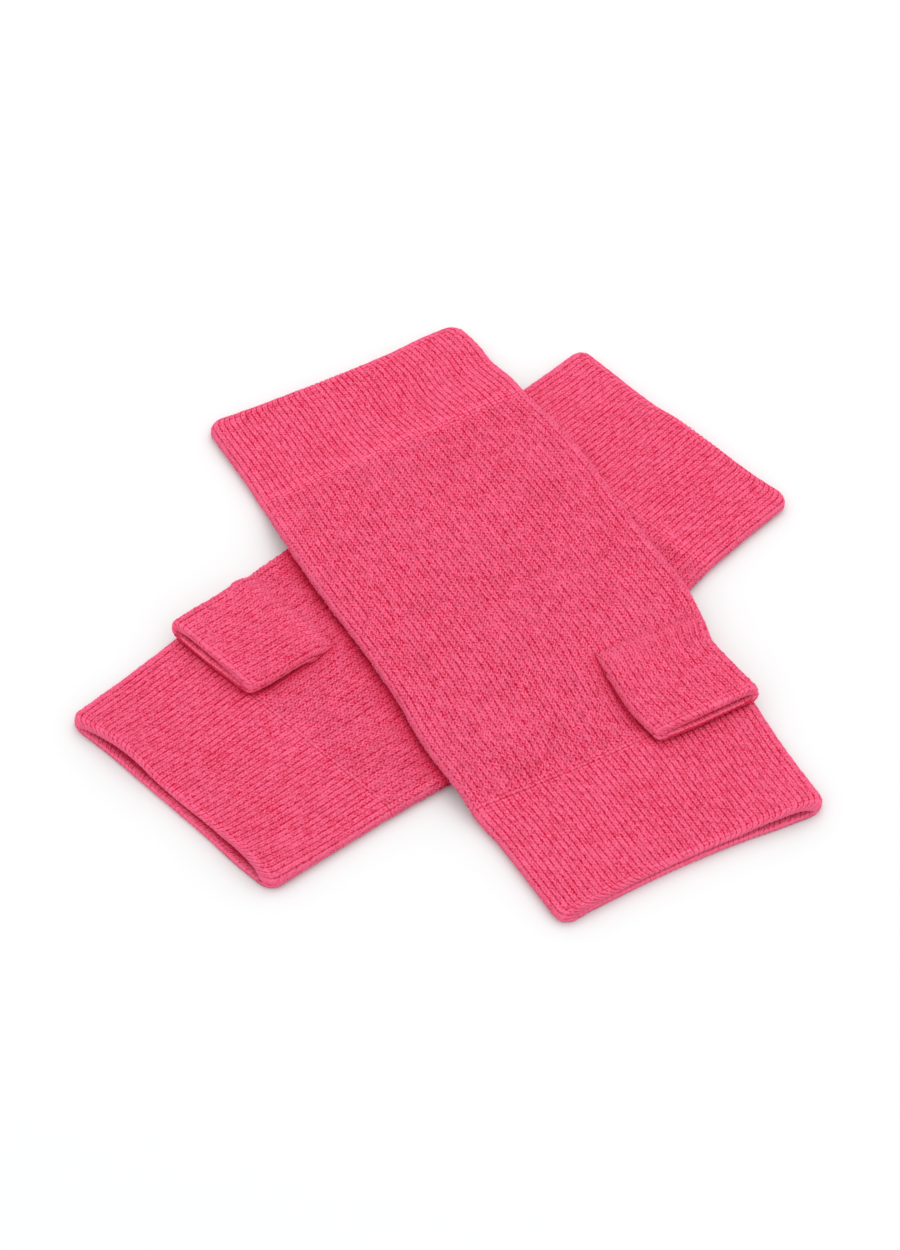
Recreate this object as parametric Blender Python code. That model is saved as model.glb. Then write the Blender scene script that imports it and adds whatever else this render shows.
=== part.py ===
"""Pair of knitted wrist warmers with thumb tubes, laid flat and crossed. Metres, +Z up.

Each warmer is a flattened tube of four knitted pieces: a wrist rib, a plain body, a hand rib and a
ribbed thumb tube that opens into the body. The two are mirror images. The lower warmer lies flat on
the surface, and the upper one crosses over it and comes down to the surface on both sides.

A warmer's own coordinates are across (towards its thumb), along (towards its wrist end) and height.
"""

import math
from collections import namedtuple

import bpy

MM = 0.001

# Driving sizes of one warmer
LENGTH = 220 * MM
WRIST_SEAM = 72 * MM
HAND_SEAM = -66 * MM
WALES = 49
THUMB_WALES = 18
CORNER_RADIUS = 2.6 * MM

# The knitted walls and the thin hollow between them
WALL = 1.7 * MM
HOLLOW = 0.8 * MM
THICKNESS = 2 * WALL + HOLLOW
THUMB_WALL = 1.6 * MM
THUMB_HOLLOW = 0.6 * MM
THUMB_THICKNESS = 2 * THUMB_WALL + THUMB_HOLLOW
RIB_RISE = 0.25 * MM
GAP = 0.3 * MM

# How far the two layers part at an open end, and over what length
HAND_MOUTH = 1.7 * MM
WRIST_MOUTH = 0.5 * MM
THUMB_MOUTH = 1.0 * MM
MOUTH_RUN = 22 * MM

# The hole in the body's top layer, and the lip of the thumb tube that stands in it
HOLE_WRIST_EDGE = -31 * MM
HOLE_HAND_EDGE = -41 * MM
HOLE_MARGIN = 0.5 * MM
LIP_STEP = 3.2 * MM
LIP_CLIMB = 2.3 * MM
SHOULDER_DROP = 0.7 * MM
LIP_END = -42.5 * MM

# Cloth that lies on a warmer is clear of its ribs
REST_LEVEL = THICKNESS + RIB_RISE + GAP
RUN_OUT = 22 * MM

# Edges of each warmer: distance from its centre line to the folds, in mm, along its length in mm
Station = namedtuple("Station", "along thumb_side far_side")
UPPER_OUTLINE = (
    Station(-110, 45.8, 45.3),
    Station(-88, 46.1, 46.4),
    Station(-66, 47.4, 48.8),
    Station(-45, 48.8, 51.2),
    Station(-31, 50.3, 51.0),
    Station(-22, 51.5, 50.4),
    Station(0, 50.3, 50.0),
    Station(31, 50.9, 50.4),
    Station(55, 50.0, 49.2),
    Station(72, 47.8, 47.1),
    Station(90, 47.1, 46.8),
    Station(110, 46.4, 47.1),
)
LOWER_OUTLINE = (
    Station(-110, 46.6, 42.6),
    Station(-88, 46.5, 44.9),
    Station(-66, 47.1, 47.3),
    Station(-45, 48.3, 50.9),
    Station(-31, 49.3, 51.8),
    Station(0, 50.0, 50.3),
    Station(31, 50.2, 50.8),
    Station(55, 47.9, 48.2),
    Station(72, 46.7, 45.9),
    Station(90, 46.9, 45.4),
    Station(110, 46.9, 45.0),
)

# How far the open ends reach past half the length, in mm, across each warmer in mm
EndStation = namedtuple("EndStation", "across hand_end wrist_end")
UPPER_ENDS = (
    EndStation(-46, 1.8, 0.8),
    EndStation(-28, 0.6, -0.1),
    EndStation(-5, 0.0, -0.5),
    EndStation(18, 0.6, 0.1),
    EndStation(32, 1.7, 1.8),
    EndStation(46, 2.4, 2.2),
)
LOWER_ENDS = (
    EndStation(-44, 0.5, 0.6),
    EndStation(-28, 0.9, 0.0),
    EndStation(-14, 0.3, 0.1),
    EndStation(0, 0.0, 0.0),
    EndStation(14, 0.0, -1.1),
    EndStation(30, 0.3, -0.6),
    EndStation(44, 0.9, 0.2),
)
END_RUN = 25 * MM

# Edges of each thumb tube, across the warmer from its centre line, in mm
ThumbStation = namedtuple("ThumbStation", "along inner outer")
UPPER_THUMB = (
    ThumbStation(-31, 13.3, 49.6),
    ThumbStation(-38, 12.8, 48.3),
    ThumbStation(-45, 12.3, 47.2),
    ThumbStation(-58, 12.3, 48.3),
    ThumbStation(-69, 13.0, 49.1),
)
LOWER_THUMB = (
    ThumbStation(-31, 8.6, 48.8),
    ThumbStation(-38, 9.2, 49.2),
    ThumbStation(-45, 10.3, 48.8),
    ThumbStation(-58, 12.8, 49.5),
    ThumbStation(-67, 14.3, 50.3),
)

# hand is 1 where the thumb is on the right as the wrist end points away, and -1 where it is on the left
Warmer = namedtuple("Warmer", "name x y turn hand outline ends thumb column_step row_step")
UPPER = Warmer(
    "upper",
    17.1 * MM,
    -0.5 * MM,
    math.radians(30.5),
    1,
    UPPER_OUTLINE,
    UPPER_ENDS,
    UPPER_THUMB,
    6.4 * MM,
    6.6 * MM,
)
LOWER = Warmer(
    "lower",
    -3.1 * MM,
    -2.2 * MM,
    math.radians(-44.0),
    -1,
    LOWER_OUTLINE,
    LOWER_ENDS,
    LOWER_THUMB,
    24 * MM,
    19 * MM,
)

# Steps round each fold of a ring, columns of a thumb tube's plain faces, and rows along it
FOLD_STEPS = 3
INNER_FOLD_STEPS = 2
THUMB_COLUMNS = 4
THUMB_ROW_STEP = 9 * MM
CORNER_ROW_SHARE = 0.3
SHARP_ANGLE = math.radians(40)

ROSE = (0.80, 0.082, 0.185)
DEEP_ROSE = (0.75, 0.065, 0.160)

# Shares run along a ring from its left fold, 0 to 1 over the top and on to 2 underneath.
# on_top is true on the upper half, and up goes from 0 at the fold to 1 on the flat top
Ring = namedtuple("Ring", "shares points")
RingPoint = namedtuple("RingPoint", "across height on_top up")
FULL_RING = 2.0
ThumbRow = namedtuple("ThumbRow", "bottom_along top_along drop edges")


def smooth(share):
    """Eases from 0 to 1 as share goes from 0 to 1."""
    share = min(max(share, 0.0), 1.0)
    return share * share * (3 - 2 * share)


def spaced(first, last, step):
    """Even stops from first to last, no further apart than step."""
    count = max(1, math.ceil(abs(last - first) / step - 1e-6))
    return [first + (last - first) * i / count for i in range(count + 1)]


def read_table(rows, key, column, value):
    """A smooth curve through one column of a table, read at a value of its key column, in metres."""
    rows = sorted(rows, key=lambda row: getattr(row, key))
    stops = [getattr(row, key) * MM for row in rows]
    heights = [getattr(row, column) * MM for row in rows]
    value = min(max(value, stops[0]), stops[-1])
    span = next(i for i in range(len(stops) - 1) if value <= stops[i + 1])
    slopes = []
    for i in (span, span + 1):
        low, high = max(i - 1, 0), min(i + 1, len(stops) - 1)
        slopes.append((heights[high] - heights[low]) / (stops[high] - stops[low]))
    width = stops[span + 1] - stops[span]
    t = (value - stops[span]) / width
    bend = t * (1 - t) * width
    middle = heights[span] + (heights[span + 1] - heights[span]) * smooth(t)
    return middle + bend * ((1 - t) * slopes[0] - t * slopes[1])


def corner_inset(distance):
    """How far a rounded corner pulls the fold in, at this distance from the open end."""
    if distance >= CORNER_RADIUS:
        return 0.0
    reach = CORNER_RADIUS - max(distance, 0.0)
    return CORNER_RADIUS - math.sqrt(CORNER_RADIUS**2 - reach**2)


def warmer_edges(warmer, along):
    """Across positions of the far fold and the thumb-side fold."""
    inset = corner_inset(LENGTH / 2 - abs(along))
    far = read_table(warmer.outline, "along", "far_side", along) - inset
    near = read_table(warmer.outline, "along", "thumb_side", along) - inset
    return -far, near


def thumb_edges(warmer, along):
    """Across positions of the thumb tube's two folds."""
    inset = corner_inset(along - warmer.thumb[-1].along * MM)
    inner = read_table(warmer.thumb, "along", "inner", along) + inset
    outer = read_table(warmer.thumb, "along", "outer", along) - inset
    return inner, outer


def hole_edges(warmer):
    """Across positions of the hole's two sides: round the thumb tube's lip, and short of the body's fold."""
    inner, _ = thumb_edges(warmer, HOLE_WRIST_EDGE)
    _, fold = warmer_edges(warmer, HOLE_HAND_EDGE)
    return inner - GAP, fold - THICKNESS / 2 - HOLE_MARGIN


def end_drift(warmer, across, along):
    """How far the open end nearby carries a point along the warmer."""
    column = "wrist_end" if along > 0 else "hand_end"
    reach = read_table(warmer.ends, "across", column, across)
    near_end = smooth(1 - (LENGTH / 2 - abs(along)) / END_RUN)
    return math.copysign(reach * near_end, along)


def own_place(warmer, x, y):
    """Across and along of a point of the surface, in the warmer's own coordinates."""
    dx, dy = x - warmer.x, y - warmer.y
    across = dx * math.cos(warmer.turn) + dy * math.sin(warmer.turn)
    along = -dx * math.sin(warmer.turn) + dy * math.cos(warmer.turn)
    return across * warmer.hand, along


def cover_height(x, y):
    """How high the lower warmer holds the cloth that lies over it."""
    across, along = own_place(LOWER, x, y)
    far, near = warmer_edges(LOWER, min(max(along, HAND_SEAM), WRIST_SEAM))
    beyond = max(across - near, far - across)
    return REST_LEVEL * (1 - smooth(beyond / RUN_OUT))


def place(warmer, across, along, height):
    """World position of a point given in the warmer's own coordinates."""
    across *= warmer.hand
    x = warmer.x + across * math.cos(warmer.turn) - along * math.sin(warmer.turn)
    y = warmer.y + across * math.sin(warmer.turn) + along * math.cos(warmer.turn)
    lift = cover_height(x, y) if warmer is UPPER else 0.0
    return x, y, height + lift


def mouth_swell(opening, end_distance, left, right, across):
    """How far the top layer rises near an open end, most in the middle of its width."""
    middle = (left + right) / 2
    side = (across - middle) / ((right - left) / 2)
    return opening * smooth(1 - end_distance / MOUTH_RUN) * max(0.0, 1 - side * side)


def half_loop(share, left, right, radius):
    """Point and outward direction on the upper half of a flattened ring, share 0 to 1 from left to right."""
    quarter = radius * math.pi / 2
    flat = right - left - 2 * radius
    distance = share * (2 * quarter + flat)
    if quarter <= distance <= quarter + flat:
        return left + radius + distance - quarter, radius, 0.0, 1.0
    on_left = distance < quarter
    angle = distance / radius if on_left else max(0.0, (2 * quarter + flat - distance) / radius)
    side = -1 if on_left else 1
    centre = left + radius if on_left else right - radius
    out_x, out_z = side * math.cos(angle), math.sin(angle)
    return centre + radius * out_x, radius * out_z, out_x, out_z


def plain_shares(left, right, radius, fold_steps, counts, through=()):
    """Shares along the upper half of a ring: steps round each fold, and counted columns between the marks."""
    quarter = radius * math.pi / 2
    whole = 2 * quarter + right - left - 2 * radius
    fold = [quarter * i / fold_steps / whole for i in range(fold_steps)]
    marks = [left + radius, *through, right - radius]
    stops = [marks[0]]
    for first, last, count in zip(marks, marks[1:], counts):
        stops += [first + (last - first) * (i + 1) / count for i in range(count)]
    flat = [(quarter + stop - left - radius) / whole for stop in stops]
    return fold + flat + [1 - share for share in reversed(fold)]


def column_count(width, step):
    """How many columns no wider than step cover this width."""
    return len(spaced(0.0, width, step)) - 1


def flattened_ring(left, right, low, high, top_shares, under_shares, rib_rise=0.0):
    """Closed ring of points, from the left fold over the top to the right fold and back below."""
    radius = (high - low) / 2
    shares, points = [], []
    for i, share in enumerate(top_shares):
        across, rise, out_x, out_z = half_loop(share, left, right, radius)
        raised = rib_rise * (1 if i % 2 else -1) * out_z
        shares.append(share)
        height = low + radius + rise + raised * out_z
        points.append(RingPoint(across + raised * out_x, height, True, rise / radius))
    for share in reversed(under_shares[1:-1]):
        across, rise, _, _ = half_loop(share, left, right, radius)
        shares.append(FULL_RING - share)
        points.append(RingPoint(across, low + radius - rise, False, 0.0))
    return Ring(shares, points)


def rib_shares(wales):
    """Two stops for each wale of the upper half of a ring: a crest and a furrow."""
    return [i / (2 * wales) for i in range(2 * wales + 1)]


def bridge_loops(first, first_shares, last, last_shares):
    """Triangles between two closed loops of unlike counts that start at the same place."""
    faces = []
    i = j = 0
    first_ends = first_shares[1:] + [FULL_RING]
    last_ends = last_shares[1:] + [FULL_RING]
    while i < len(first) or j < len(last):
        a, b = first[i % len(first)], last[j % len(last)]
        if j >= len(last) or (i < len(first) and first_ends[i] <= last_ends[j]):
            faces.append((a, first[(i + 1) % len(first)], b))
            i += 1
        else:
            faces.append((a, last[(j + 1) % len(last)], b))
            j += 1
    return faces


def ring_strip(start, count, columns):
    """Quads of one surface of a tube: rings of the same count, one after another."""
    faces = {}
    for row in range(count - 1):
        for column in range(columns):
            beside = (column + 1) % columns
            here, above = start + row * columns, start + (row + 1) * columns
            faces[row, column] = (here + column, here + beside, above + beside, above + column)
    return faces


def free_edges(faces):
    """Directed edges that only one face uses."""
    edges = {(face[k], face[(k + 1) % len(face)]) for face in faces for k in range(len(face))}
    return sorted((a, b) for a, b in edges if (b, a) not in edges)


def knit_material(name, colour):
    material = bpy.data.materials.new(name)
    material.use_nodes = True
    shader = material.node_tree.nodes["Principled BSDF"]
    shader.inputs["Base Color"].default_value = (*colour, 1.0)
    shader.inputs["Roughness"].default_value = 0.95
    shader.inputs["Metallic"].default_value = 0.0
    material.diffuse_color = (*colour, 1.0)
    return material


def add_piece(name, warmer, points, faces, colour, collection):
    """One knitted piece as a named object. A mirrored warmer's faces are turned round."""
    if warmer.hand < 0:
        faces = [tuple(reversed(face)) for face in faces]
    mesh = bpy.data.meshes.new(name)
    mesh.from_pydata([place(warmer, *point) for point in points], [], faces)
    mesh.materials.append(knit_material(name + "_knit", colour))
    mesh.shade_smooth()
    mesh.set_sharp_from_angle(angle=SHARP_ANGLE)
    piece = bpy.data.objects.new(name, mesh)
    collection.objects.link(piece)


def band_rows(warmer, seam, end):
    """Rows from a seam to an open end, closer together at its rounded corners."""
    inward = math.copysign(CORNER_RADIUS, seam - end)
    rows = spaced(seam, end + inward, warmer.row_step) + [end + inward * CORNER_ROW_SHARE, end]
    return sorted(rows)


def rib_band(warmer, name, seam, end, opening, collection):
    """A ribbed band from its seam with the body to an open end. Its inside is plain."""
    rows = band_rows(warmer, seam, end)
    seam_left, seam_right = warmer_edges(warmer, seam)
    count = column_count(seam_right - seam_left, warmer.column_step)
    outers, inners = [], []
    for along in rows:
        left, right = warmer_edges(warmer, along)
        under = plain_shares(left, right, THICKNESS / 2, FOLD_STEPS - 1, [count])
        outers.append(flattened_ring(left, right, 0.0, THICKNESS, rib_shares(WALES), under, RIB_RISE))
        left, right = left + WALL, right - WALL
        inside = plain_shares(left, right, HOLLOW / 2, INNER_FOLD_STEPS, [count])
        inners.append(flattened_ring(left, right, WALL, WALL + HOLLOW, inside, inside))

    points = []
    for rings in (outers, inners):
        for along, ring in zip(rows, rings):
            left, right = warmer_edges(warmer, along)
            for point in ring.points:
                swell = mouth_swell(opening, abs(end - along), left, right, point.across)
                drift = end_drift(warmer, point.across, along)
                points.append((point.across, along + drift, point.height + swell * point.on_top))
    add_piece(f"{warmer.name}_{name}", warmer, points, tube_faces(outers, inners), ROSE, collection)


def tube_faces(outers, inners):
    """Faces of a tube whose outer and inner rings have their own counts."""
    outer_columns, inner_columns = len(outers[0].points), len(inners[0].points)
    inner_start = len(outers) * outer_columns
    faces = list(ring_strip(0, len(outers), outer_columns).values())
    inside = ring_strip(inner_start, len(inners), inner_columns).values()
    faces += [tuple(reversed(face)) for face in inside]
    for row, turned in ((0, True), (len(outers) - 1, False)):
        outer_loop = [row * outer_columns + i for i in range(outer_columns)]
        inner_loop = [inner_start + row * inner_columns + i for i in range(inner_columns)]
        cap = bridge_loops(outer_loop, outers[row].shares, inner_loop, inners[row].shares)
        faces += [tuple(reversed(face)) for face in cap] if turned else cap
    return faces


def body(warmer, collection):
    """The plain tube between the two ribs, with the hole that the thumb tube opens into."""
    hole = hole_edges(warmer)
    rows = spaced(HAND_SEAM + GAP / 2, HOLE_HAND_EDGE, warmer.row_step)
    rows += spaced(HOLE_HAND_EDGE, HOLE_WRIST_EDGE, warmer.row_step)[1:]
    rows += spaced(HOLE_WRIST_EDGE, WRIST_SEAM - GAP / 2, warmer.row_step)[1:]
    widths = [warmer_edges(warmer, along) for along in rows]
    marks = [widths[0][0] + THICKNESS / 2, *hole, widths[0][1] - THICKNESS / 2]
    counts = [column_count(b - a, warmer.column_step) for a, b in zip(marks, marks[1:])]
    points = []
    for inset, fold_radius in ((0.0, THICKNESS / 2), (WALL, HOLLOW / 2)):
        for along, (left, right) in zip(rows, widths):
            left, right = left + inset, right - inset
            marks = (hole[0], min(hole[1], right - fold_radius - HOLE_MARGIN / 2))
            shares = plain_shares(left, right, fold_radius, FOLD_STEPS, counts, marks)
            under = plain_shares(left, right, fold_radius, FOLD_STEPS - 1, [sum(counts) - 1])
            ring = flattened_ring(left, right, inset, THICKNESS - inset, shares, under)
            points += [(point.across, along, point.height) for point in ring.points]
    columns = len(ring.points)
    outside = ring_strip(0, len(rows), columns)
    first = FOLD_STEPS + counts[0]
    hole_rows = [i for i, along in enumerate(rows[:-1]) if HOLE_HAND_EDGE <= along < HOLE_WRIST_EDGE]
    for row in hole_rows:
        for column in range(first, first + counts[1]):
            del outside[row, column]
    faces = list(outside.values())
    step = len(rows) * columns
    faces += [tuple(i + step for i in reversed(face)) for face in outside.values()]
    faces += [(b, a, a + step, b + step) for a, b in free_edges(outside.values())]
    add_piece(f"{warmer.name}_body", warmer, points, faces, DEEP_ROSE, collection)


def thumb(warmer, collection):
    """The ribbed thumb tube. Its lip stands in the body's hole, and the rest lies on the hand."""
    mouth = warmer.thumb[-1].along * MM
    lip = HOLE_WRIST_EDGE - GAP
    heel = HOLE_HAND_EDGE + GAP
    full = REST_LEVEL + THUMB_THICKNESS
    hole = hole_edges(warmer)
    brow = lip - LIP_STEP
    shoulder = (lip + LIP_END) / 2
    lip_edges = (hole[0] + GAP, hole[1] - GAP)
    rows = [
        ThumbRow(heel, lip, full - THICKNESS, lip_edges),
        ThumbRow(heel - GAP, brow, full - THICKNESS - LIP_CLIMB, thumb_edges(warmer, brow)),
        ThumbRow(heel - 2 * GAP, shoulder - GAP, SHOULDER_DROP, thumb_edges(warmer, shoulder)),
    ]
    tube_rows = spaced(LIP_END, mouth + CORNER_RADIUS, THUMB_ROW_STEP)
    tube_rows += [mouth + CORNER_RADIUS * CORNER_ROW_SHARE, mouth]
    rows += [ThumbRow(along, along, 0.0, thumb_edges(warmer, along)) for along in tube_rows]
    outers, inners, points = [], [], []
    for inset, rings, rise in ((0.0, outers, RIB_RISE), (THUMB_WALL, inners, 0.0)):
        for row in rows:
            left, right = row.edges[0] + inset, row.edges[1] - inset
            low, high = REST_LEVEL + inset, full - inset
            plain = plain_shares(left, right, (high - low) / 2, FOLD_STEPS - 1, [THUMB_COLUMNS])
            shares = rib_shares(THUMB_WALES) if rise else plain
            ring = flattened_ring(left, right, low, high, shares, plain, rise)
            rings.append(ring)
            for point in ring.points:
                along = row.bottom_along + (row.top_along - row.bottom_along) * point.up
                swell = mouth_swell(THUMB_MOUTH, along - mouth, left, right, point.across)
                height = point.height - row.drop * point.up + swell * point.on_top
                points.append((point.across, along, height))
    # Rows run from the wrist side to the mouth, against the along direction, so the faces are turned round
    faces = [tuple(reversed(face)) for face in tube_faces(outers, inners)]
    add_piece(f"{warmer.name}_thumb", warmer, points, faces, ROSE, collection)


def clear_scene():
    for thing in list(bpy.data.objects):
        bpy.data.objects.remove(thing, do_unlink=True)


def main():
    clear_scene()
    collection = bpy.data.collections.new("pair_of_wrist_warmers")
    bpy.context.scene.collection.children.link(collection)
    for warmer in (UPPER, LOWER):
        rib_band(warmer, "wrist_rib", WRIST_SEAM + GAP / 2, LENGTH / 2, WRIST_MOUTH, collection)
        rib_band(warmer, "hand_rib", HAND_SEAM - GAP / 2, -LENGTH / 2, HAND_MOUTH, collection)
        body(warmer, collection)
        thumb(warmer, collection)


main()
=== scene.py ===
"""Looks of a pair of knitted wrist warmers, laid flat and crossed. Metres, +Z up.

Each warmer's cloth is a closed tube of fine knit: every wale and course is raised in the mesh, and the
yarn's ply, the loose fibres and the uneven dye are in the material, with painted shade in the furrows and
creases and a lighter raised nap that is partly a painted highlight. Short wool fibres stand on it.

A warmer's own coordinates are across (towards its thumb), along (towards its wrist end) and height.
"""

import math
from collections import namedtuple

import bpy
import numpy as np
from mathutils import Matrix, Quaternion, Vector


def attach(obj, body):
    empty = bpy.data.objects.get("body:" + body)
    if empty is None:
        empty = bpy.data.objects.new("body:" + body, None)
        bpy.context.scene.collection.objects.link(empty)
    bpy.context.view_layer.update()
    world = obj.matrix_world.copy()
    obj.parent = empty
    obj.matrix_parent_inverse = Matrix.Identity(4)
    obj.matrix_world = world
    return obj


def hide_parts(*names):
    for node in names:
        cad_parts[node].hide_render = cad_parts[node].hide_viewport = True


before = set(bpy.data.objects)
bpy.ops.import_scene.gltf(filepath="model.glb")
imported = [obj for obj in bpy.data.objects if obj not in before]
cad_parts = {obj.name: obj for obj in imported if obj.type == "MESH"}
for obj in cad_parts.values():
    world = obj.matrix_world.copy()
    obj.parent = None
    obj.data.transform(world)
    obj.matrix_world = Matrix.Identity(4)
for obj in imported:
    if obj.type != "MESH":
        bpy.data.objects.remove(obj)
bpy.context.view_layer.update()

bl_info = {
    "name": "Knitted Wrist Warmers",
    "version": (1, 0, 0),
    "blender": (4, 5, 0),
    "location": "View3D > Sidebar > Wrist Warmers",
    "description": "Builds the knitted cloth of a crossed pair of wrist warmers",
    "category": "Object",
}

MM = 0.001

# Sizes of one warmer, as its solids have them
LENGTH = 220 * MM
WRIST_SEAM = 72 * MM
HAND_SEAM = -66 * MM
WALES = 49
WALL = 1.7 * MM
THICKNESS = 4.2 * MM
THUMB_WALL = 1.6 * MM
THUMB_THICKNESS = 3.8 * MM

# Corners of the open ends, rounder on the tubes and tighter on the thumbs than the solids' corners
CORNER_RADIUS = 3.9 * MM
THUMB_CORNER_RADIUS = 1.7 * MM

# Cut of each tube all round, as its sheet gives it
UPPER_BODY_GIRTH = 201 * MM
LOWER_BODY_GIRTH = 200 * MM
WRIST_RIB_GIRTH = 187 * MM
HAND_RIB_GIRTH = 184 * MM

# How the cloth lies: where the upper warmer rests on the lower one, and how far each effect runs out
REST_LEVEL = 4.75 * MM
RUN_OUT = 22 * MM
MOUTH_RUN = 20 * MM
OUT_RUN = 0.6 * MOUTH_RUN
LIP_RUN = 0.35 * MOUTH_RUN
END_RUN = 25 * MM

# Lips of an open end: how much thicker its rolled cloth is, and how much less so where the end gapes
LIP_SWELL = 0.36 * MM
LIP_LEAST = 0.35
GAPE_THINS = 0.9 * MM
LOWER_LIP = 0.3 * MM
LIP_RELIEF = 0.8
LIP_RELIEF_START = 0.9 * MM
LIP_RELIEF_RUN = 1.8 * MM

# Waves in the cloth: a long and a short rise and fall, and one from side to side, each made of several waves.
# The short and the side ones have a share of the long one's height.
LONG_WAVE = 34 * MM
SHORT_WAVE = 11 * MM
SHORT_WAVE_SHARE = 0.35
SIDE_WAVE = 23 * MM
SIDE_WAVE_SHARE = 0.4
WAVES = 7

# Relief where a rib begins, and along the seam that joins it to the body
RIB_BLEND = 3 * MM
RIB_LIFT = 0.08 * MM
SEAM_LIFT = 0.12 * MM
SEAM_CALM = 0.45
WRIST_SEAM_SHOWS = 0.8
WRIST_SEAM_WIDTH = 2.0 * MM
HAND_SEAM_SHOWS = 0.15
HAND_SEAM_WIDTH = 1.8 * MM

# The thumb opening in the body's top layer. The thumb tube's wales follow on from the body's, and its first
# loops lie deeper, beside the opening's inner corner.
HOLE_WRIST_EDGE = -34 * MM
HOLE_HAND_EDGE = -42 * MM
FIRST_WALE = 30
THUMB_WALES = 20
BASE_SWELL = 0.7 * MM
BASE_RUN = 9 * MM
BASE_TUCK = 0.3 * MM
THUMB_SPREAD = 9 * MM
THUMB_RIB_RUN = 7 * MM
THUMB_RIBBED = 0.75
LIP_START_RUN = 10 * MM
FIRST_LOOP_DEPTH = 0.4 * MM
FIRST_LOOP_WALES = 1.3
FIRST_LOOP_RUN = 0.7 * MM

# How far the painted shade of a crease reaches from where cloth meets cloth, and over what run it starts and
# fades
CREASE_SHADE_REACH = 1.6 * MM
COVER_SHADE_REACH = 2.8 * MM
CREASE_SHADE_START = 1.5 * MM
CREASE_SHADE_FADE = 5 * MM
LIP_SHADE_START = 1.2 * MM
ROLL_SHADE_START = 0.62
ROLL_SHADE_RUN = 0.35

# How much the nap stands up at the folds and seams, and how far in from them. Raised nap is lighter in colour,
# partly as a painted highlight.
NAP_AND_HIGHLIGHT_EDGE = 2.0 * MM
FOLD_NAP_AND_HIGHLIGHT = 0.95
FOLD_WALES = 2.0
SEAM_NAP_AND_HIGHLIGHT = 0.25
THUMB_FOLD_NAP_AND_HIGHLIGHT = 0.5
THUMB_FOLD_WALES = 1.6
THUMB_FOLD_START = 8 * MM
BASE_NAP_AND_HIGHLIGHT = 0.35
BASE_RAISED_AT = 3 * MM
BASE_RAISED_WIDTH = 2 * MM

# Edges of each warmer: distance from its centre line to the folds, in mm, along its length in mm
Station = namedtuple("Station", "along thumb_side far_side")
UPPER_OUTLINE = (
    Station(-110, 45.5, 45.0),
    Station(-88, 45.9, 46.1),
    Station(-77, 46.6, 46.7),
    Station(-66, 47.4, 48.3),
    Station(-45, 48.3, 50.1),
    Station(-31, 50.2, 49.6),
    Station(-22, 50.9, 48.9),
    Station(0, 50.3, 48.5),
    Station(31, 50.9, 49.4),
    Station(55, 50.0, 49.0),
    Station(72, 47.8, 46.8),
    Station(90, 47.1, 46.4),
    Station(99, 47.4, 46.6),
    Station(110, 45.5, 46.7),
)
LOWER_OUTLINE = (
    Station(-110, 46.1, 41.8),
    Station(-88, 46.3, 44.1),
    Station(-66, 47.1, 46.5),
    Station(-45, 48.6, 49.7),
    Station(-31, 49.9, 51.1),
    Station(0, 50.0, 50.3),
    Station(31, 50.2, 50.8),
    Station(55, 47.9, 48.2),
    Station(72, 46.7, 45.9),
    Station(90, 46.9, 44.9),
    Station(110, 46.9, 44.4),
)

# How far the open ends reach past half the length, in mm, across each warmer in mm
EndStation = namedtuple("EndStation", "across hand_end wrist_end")
UPPER_ENDS = (
    EndStation(-46, 1.8, 0.9),
    EndStation(-28, 0.5, 0.2),
    EndStation(-5, -0.3, -0.3),
    EndStation(18, 0.3, 0.1),
    EndStation(32, 1.4, 1.8),
    EndStation(46, 2.3, 2.2),
)
LOWER_ENDS = (
    EndStation(-44, 0.1, 1.2),
    EndStation(-28, 0.4, 0.0),
    EndStation(-14, -0.2, 0.1),
    EndStation(0, -0.3, 0.0),
    EndStation(14, 0.0, -1.1),
    EndStation(30, 0.3, -0.2),
    EndStation(44, 0.9, 0.6),
)

# Edges of each thumb tube, across the warmer from its centre line, in mm
ThumbStation = namedtuple("ThumbStation", "along inner outer")
UPPER_THUMB = (
    ThumbStation(-31, 11.0, 50.0),
    ThumbStation(-38, 10.9, 47.9),
    ThumbStation(-45, 10.7, 46.7),
    ThumbStation(-58, 11.1, 47.7),
    ThumbStation(-69, 12.7, 48.9),
)
LOWER_THUMB = (
    ThumbStation(-31, 10.8, 50.6),
    ThumbStation(-38, 11.0, 50.0),
    ThumbStation(-45, 11.3, 48.3),
    ThumbStation(-51, 11.7, 48.5),
    ThumbStation(-58, 12.2, 49.1),
    ThumbStation(-67, 13.9, 49.6),
)

# How far below its full height a thumb tube's top layer lies, in mm, from its base in mm
ThumbRise = namedtuple("ThumbRise", "run drop")
THUMB_RISE = (
    ThumbRise(0.0, 3.75),
    ThumbRise(3.2, 2.3),
    ThumbRise(6.0, 1.05),
    ThumbRise(12.0, 0.0),
    ThumbRise(60.0, 0.0),
)

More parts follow.
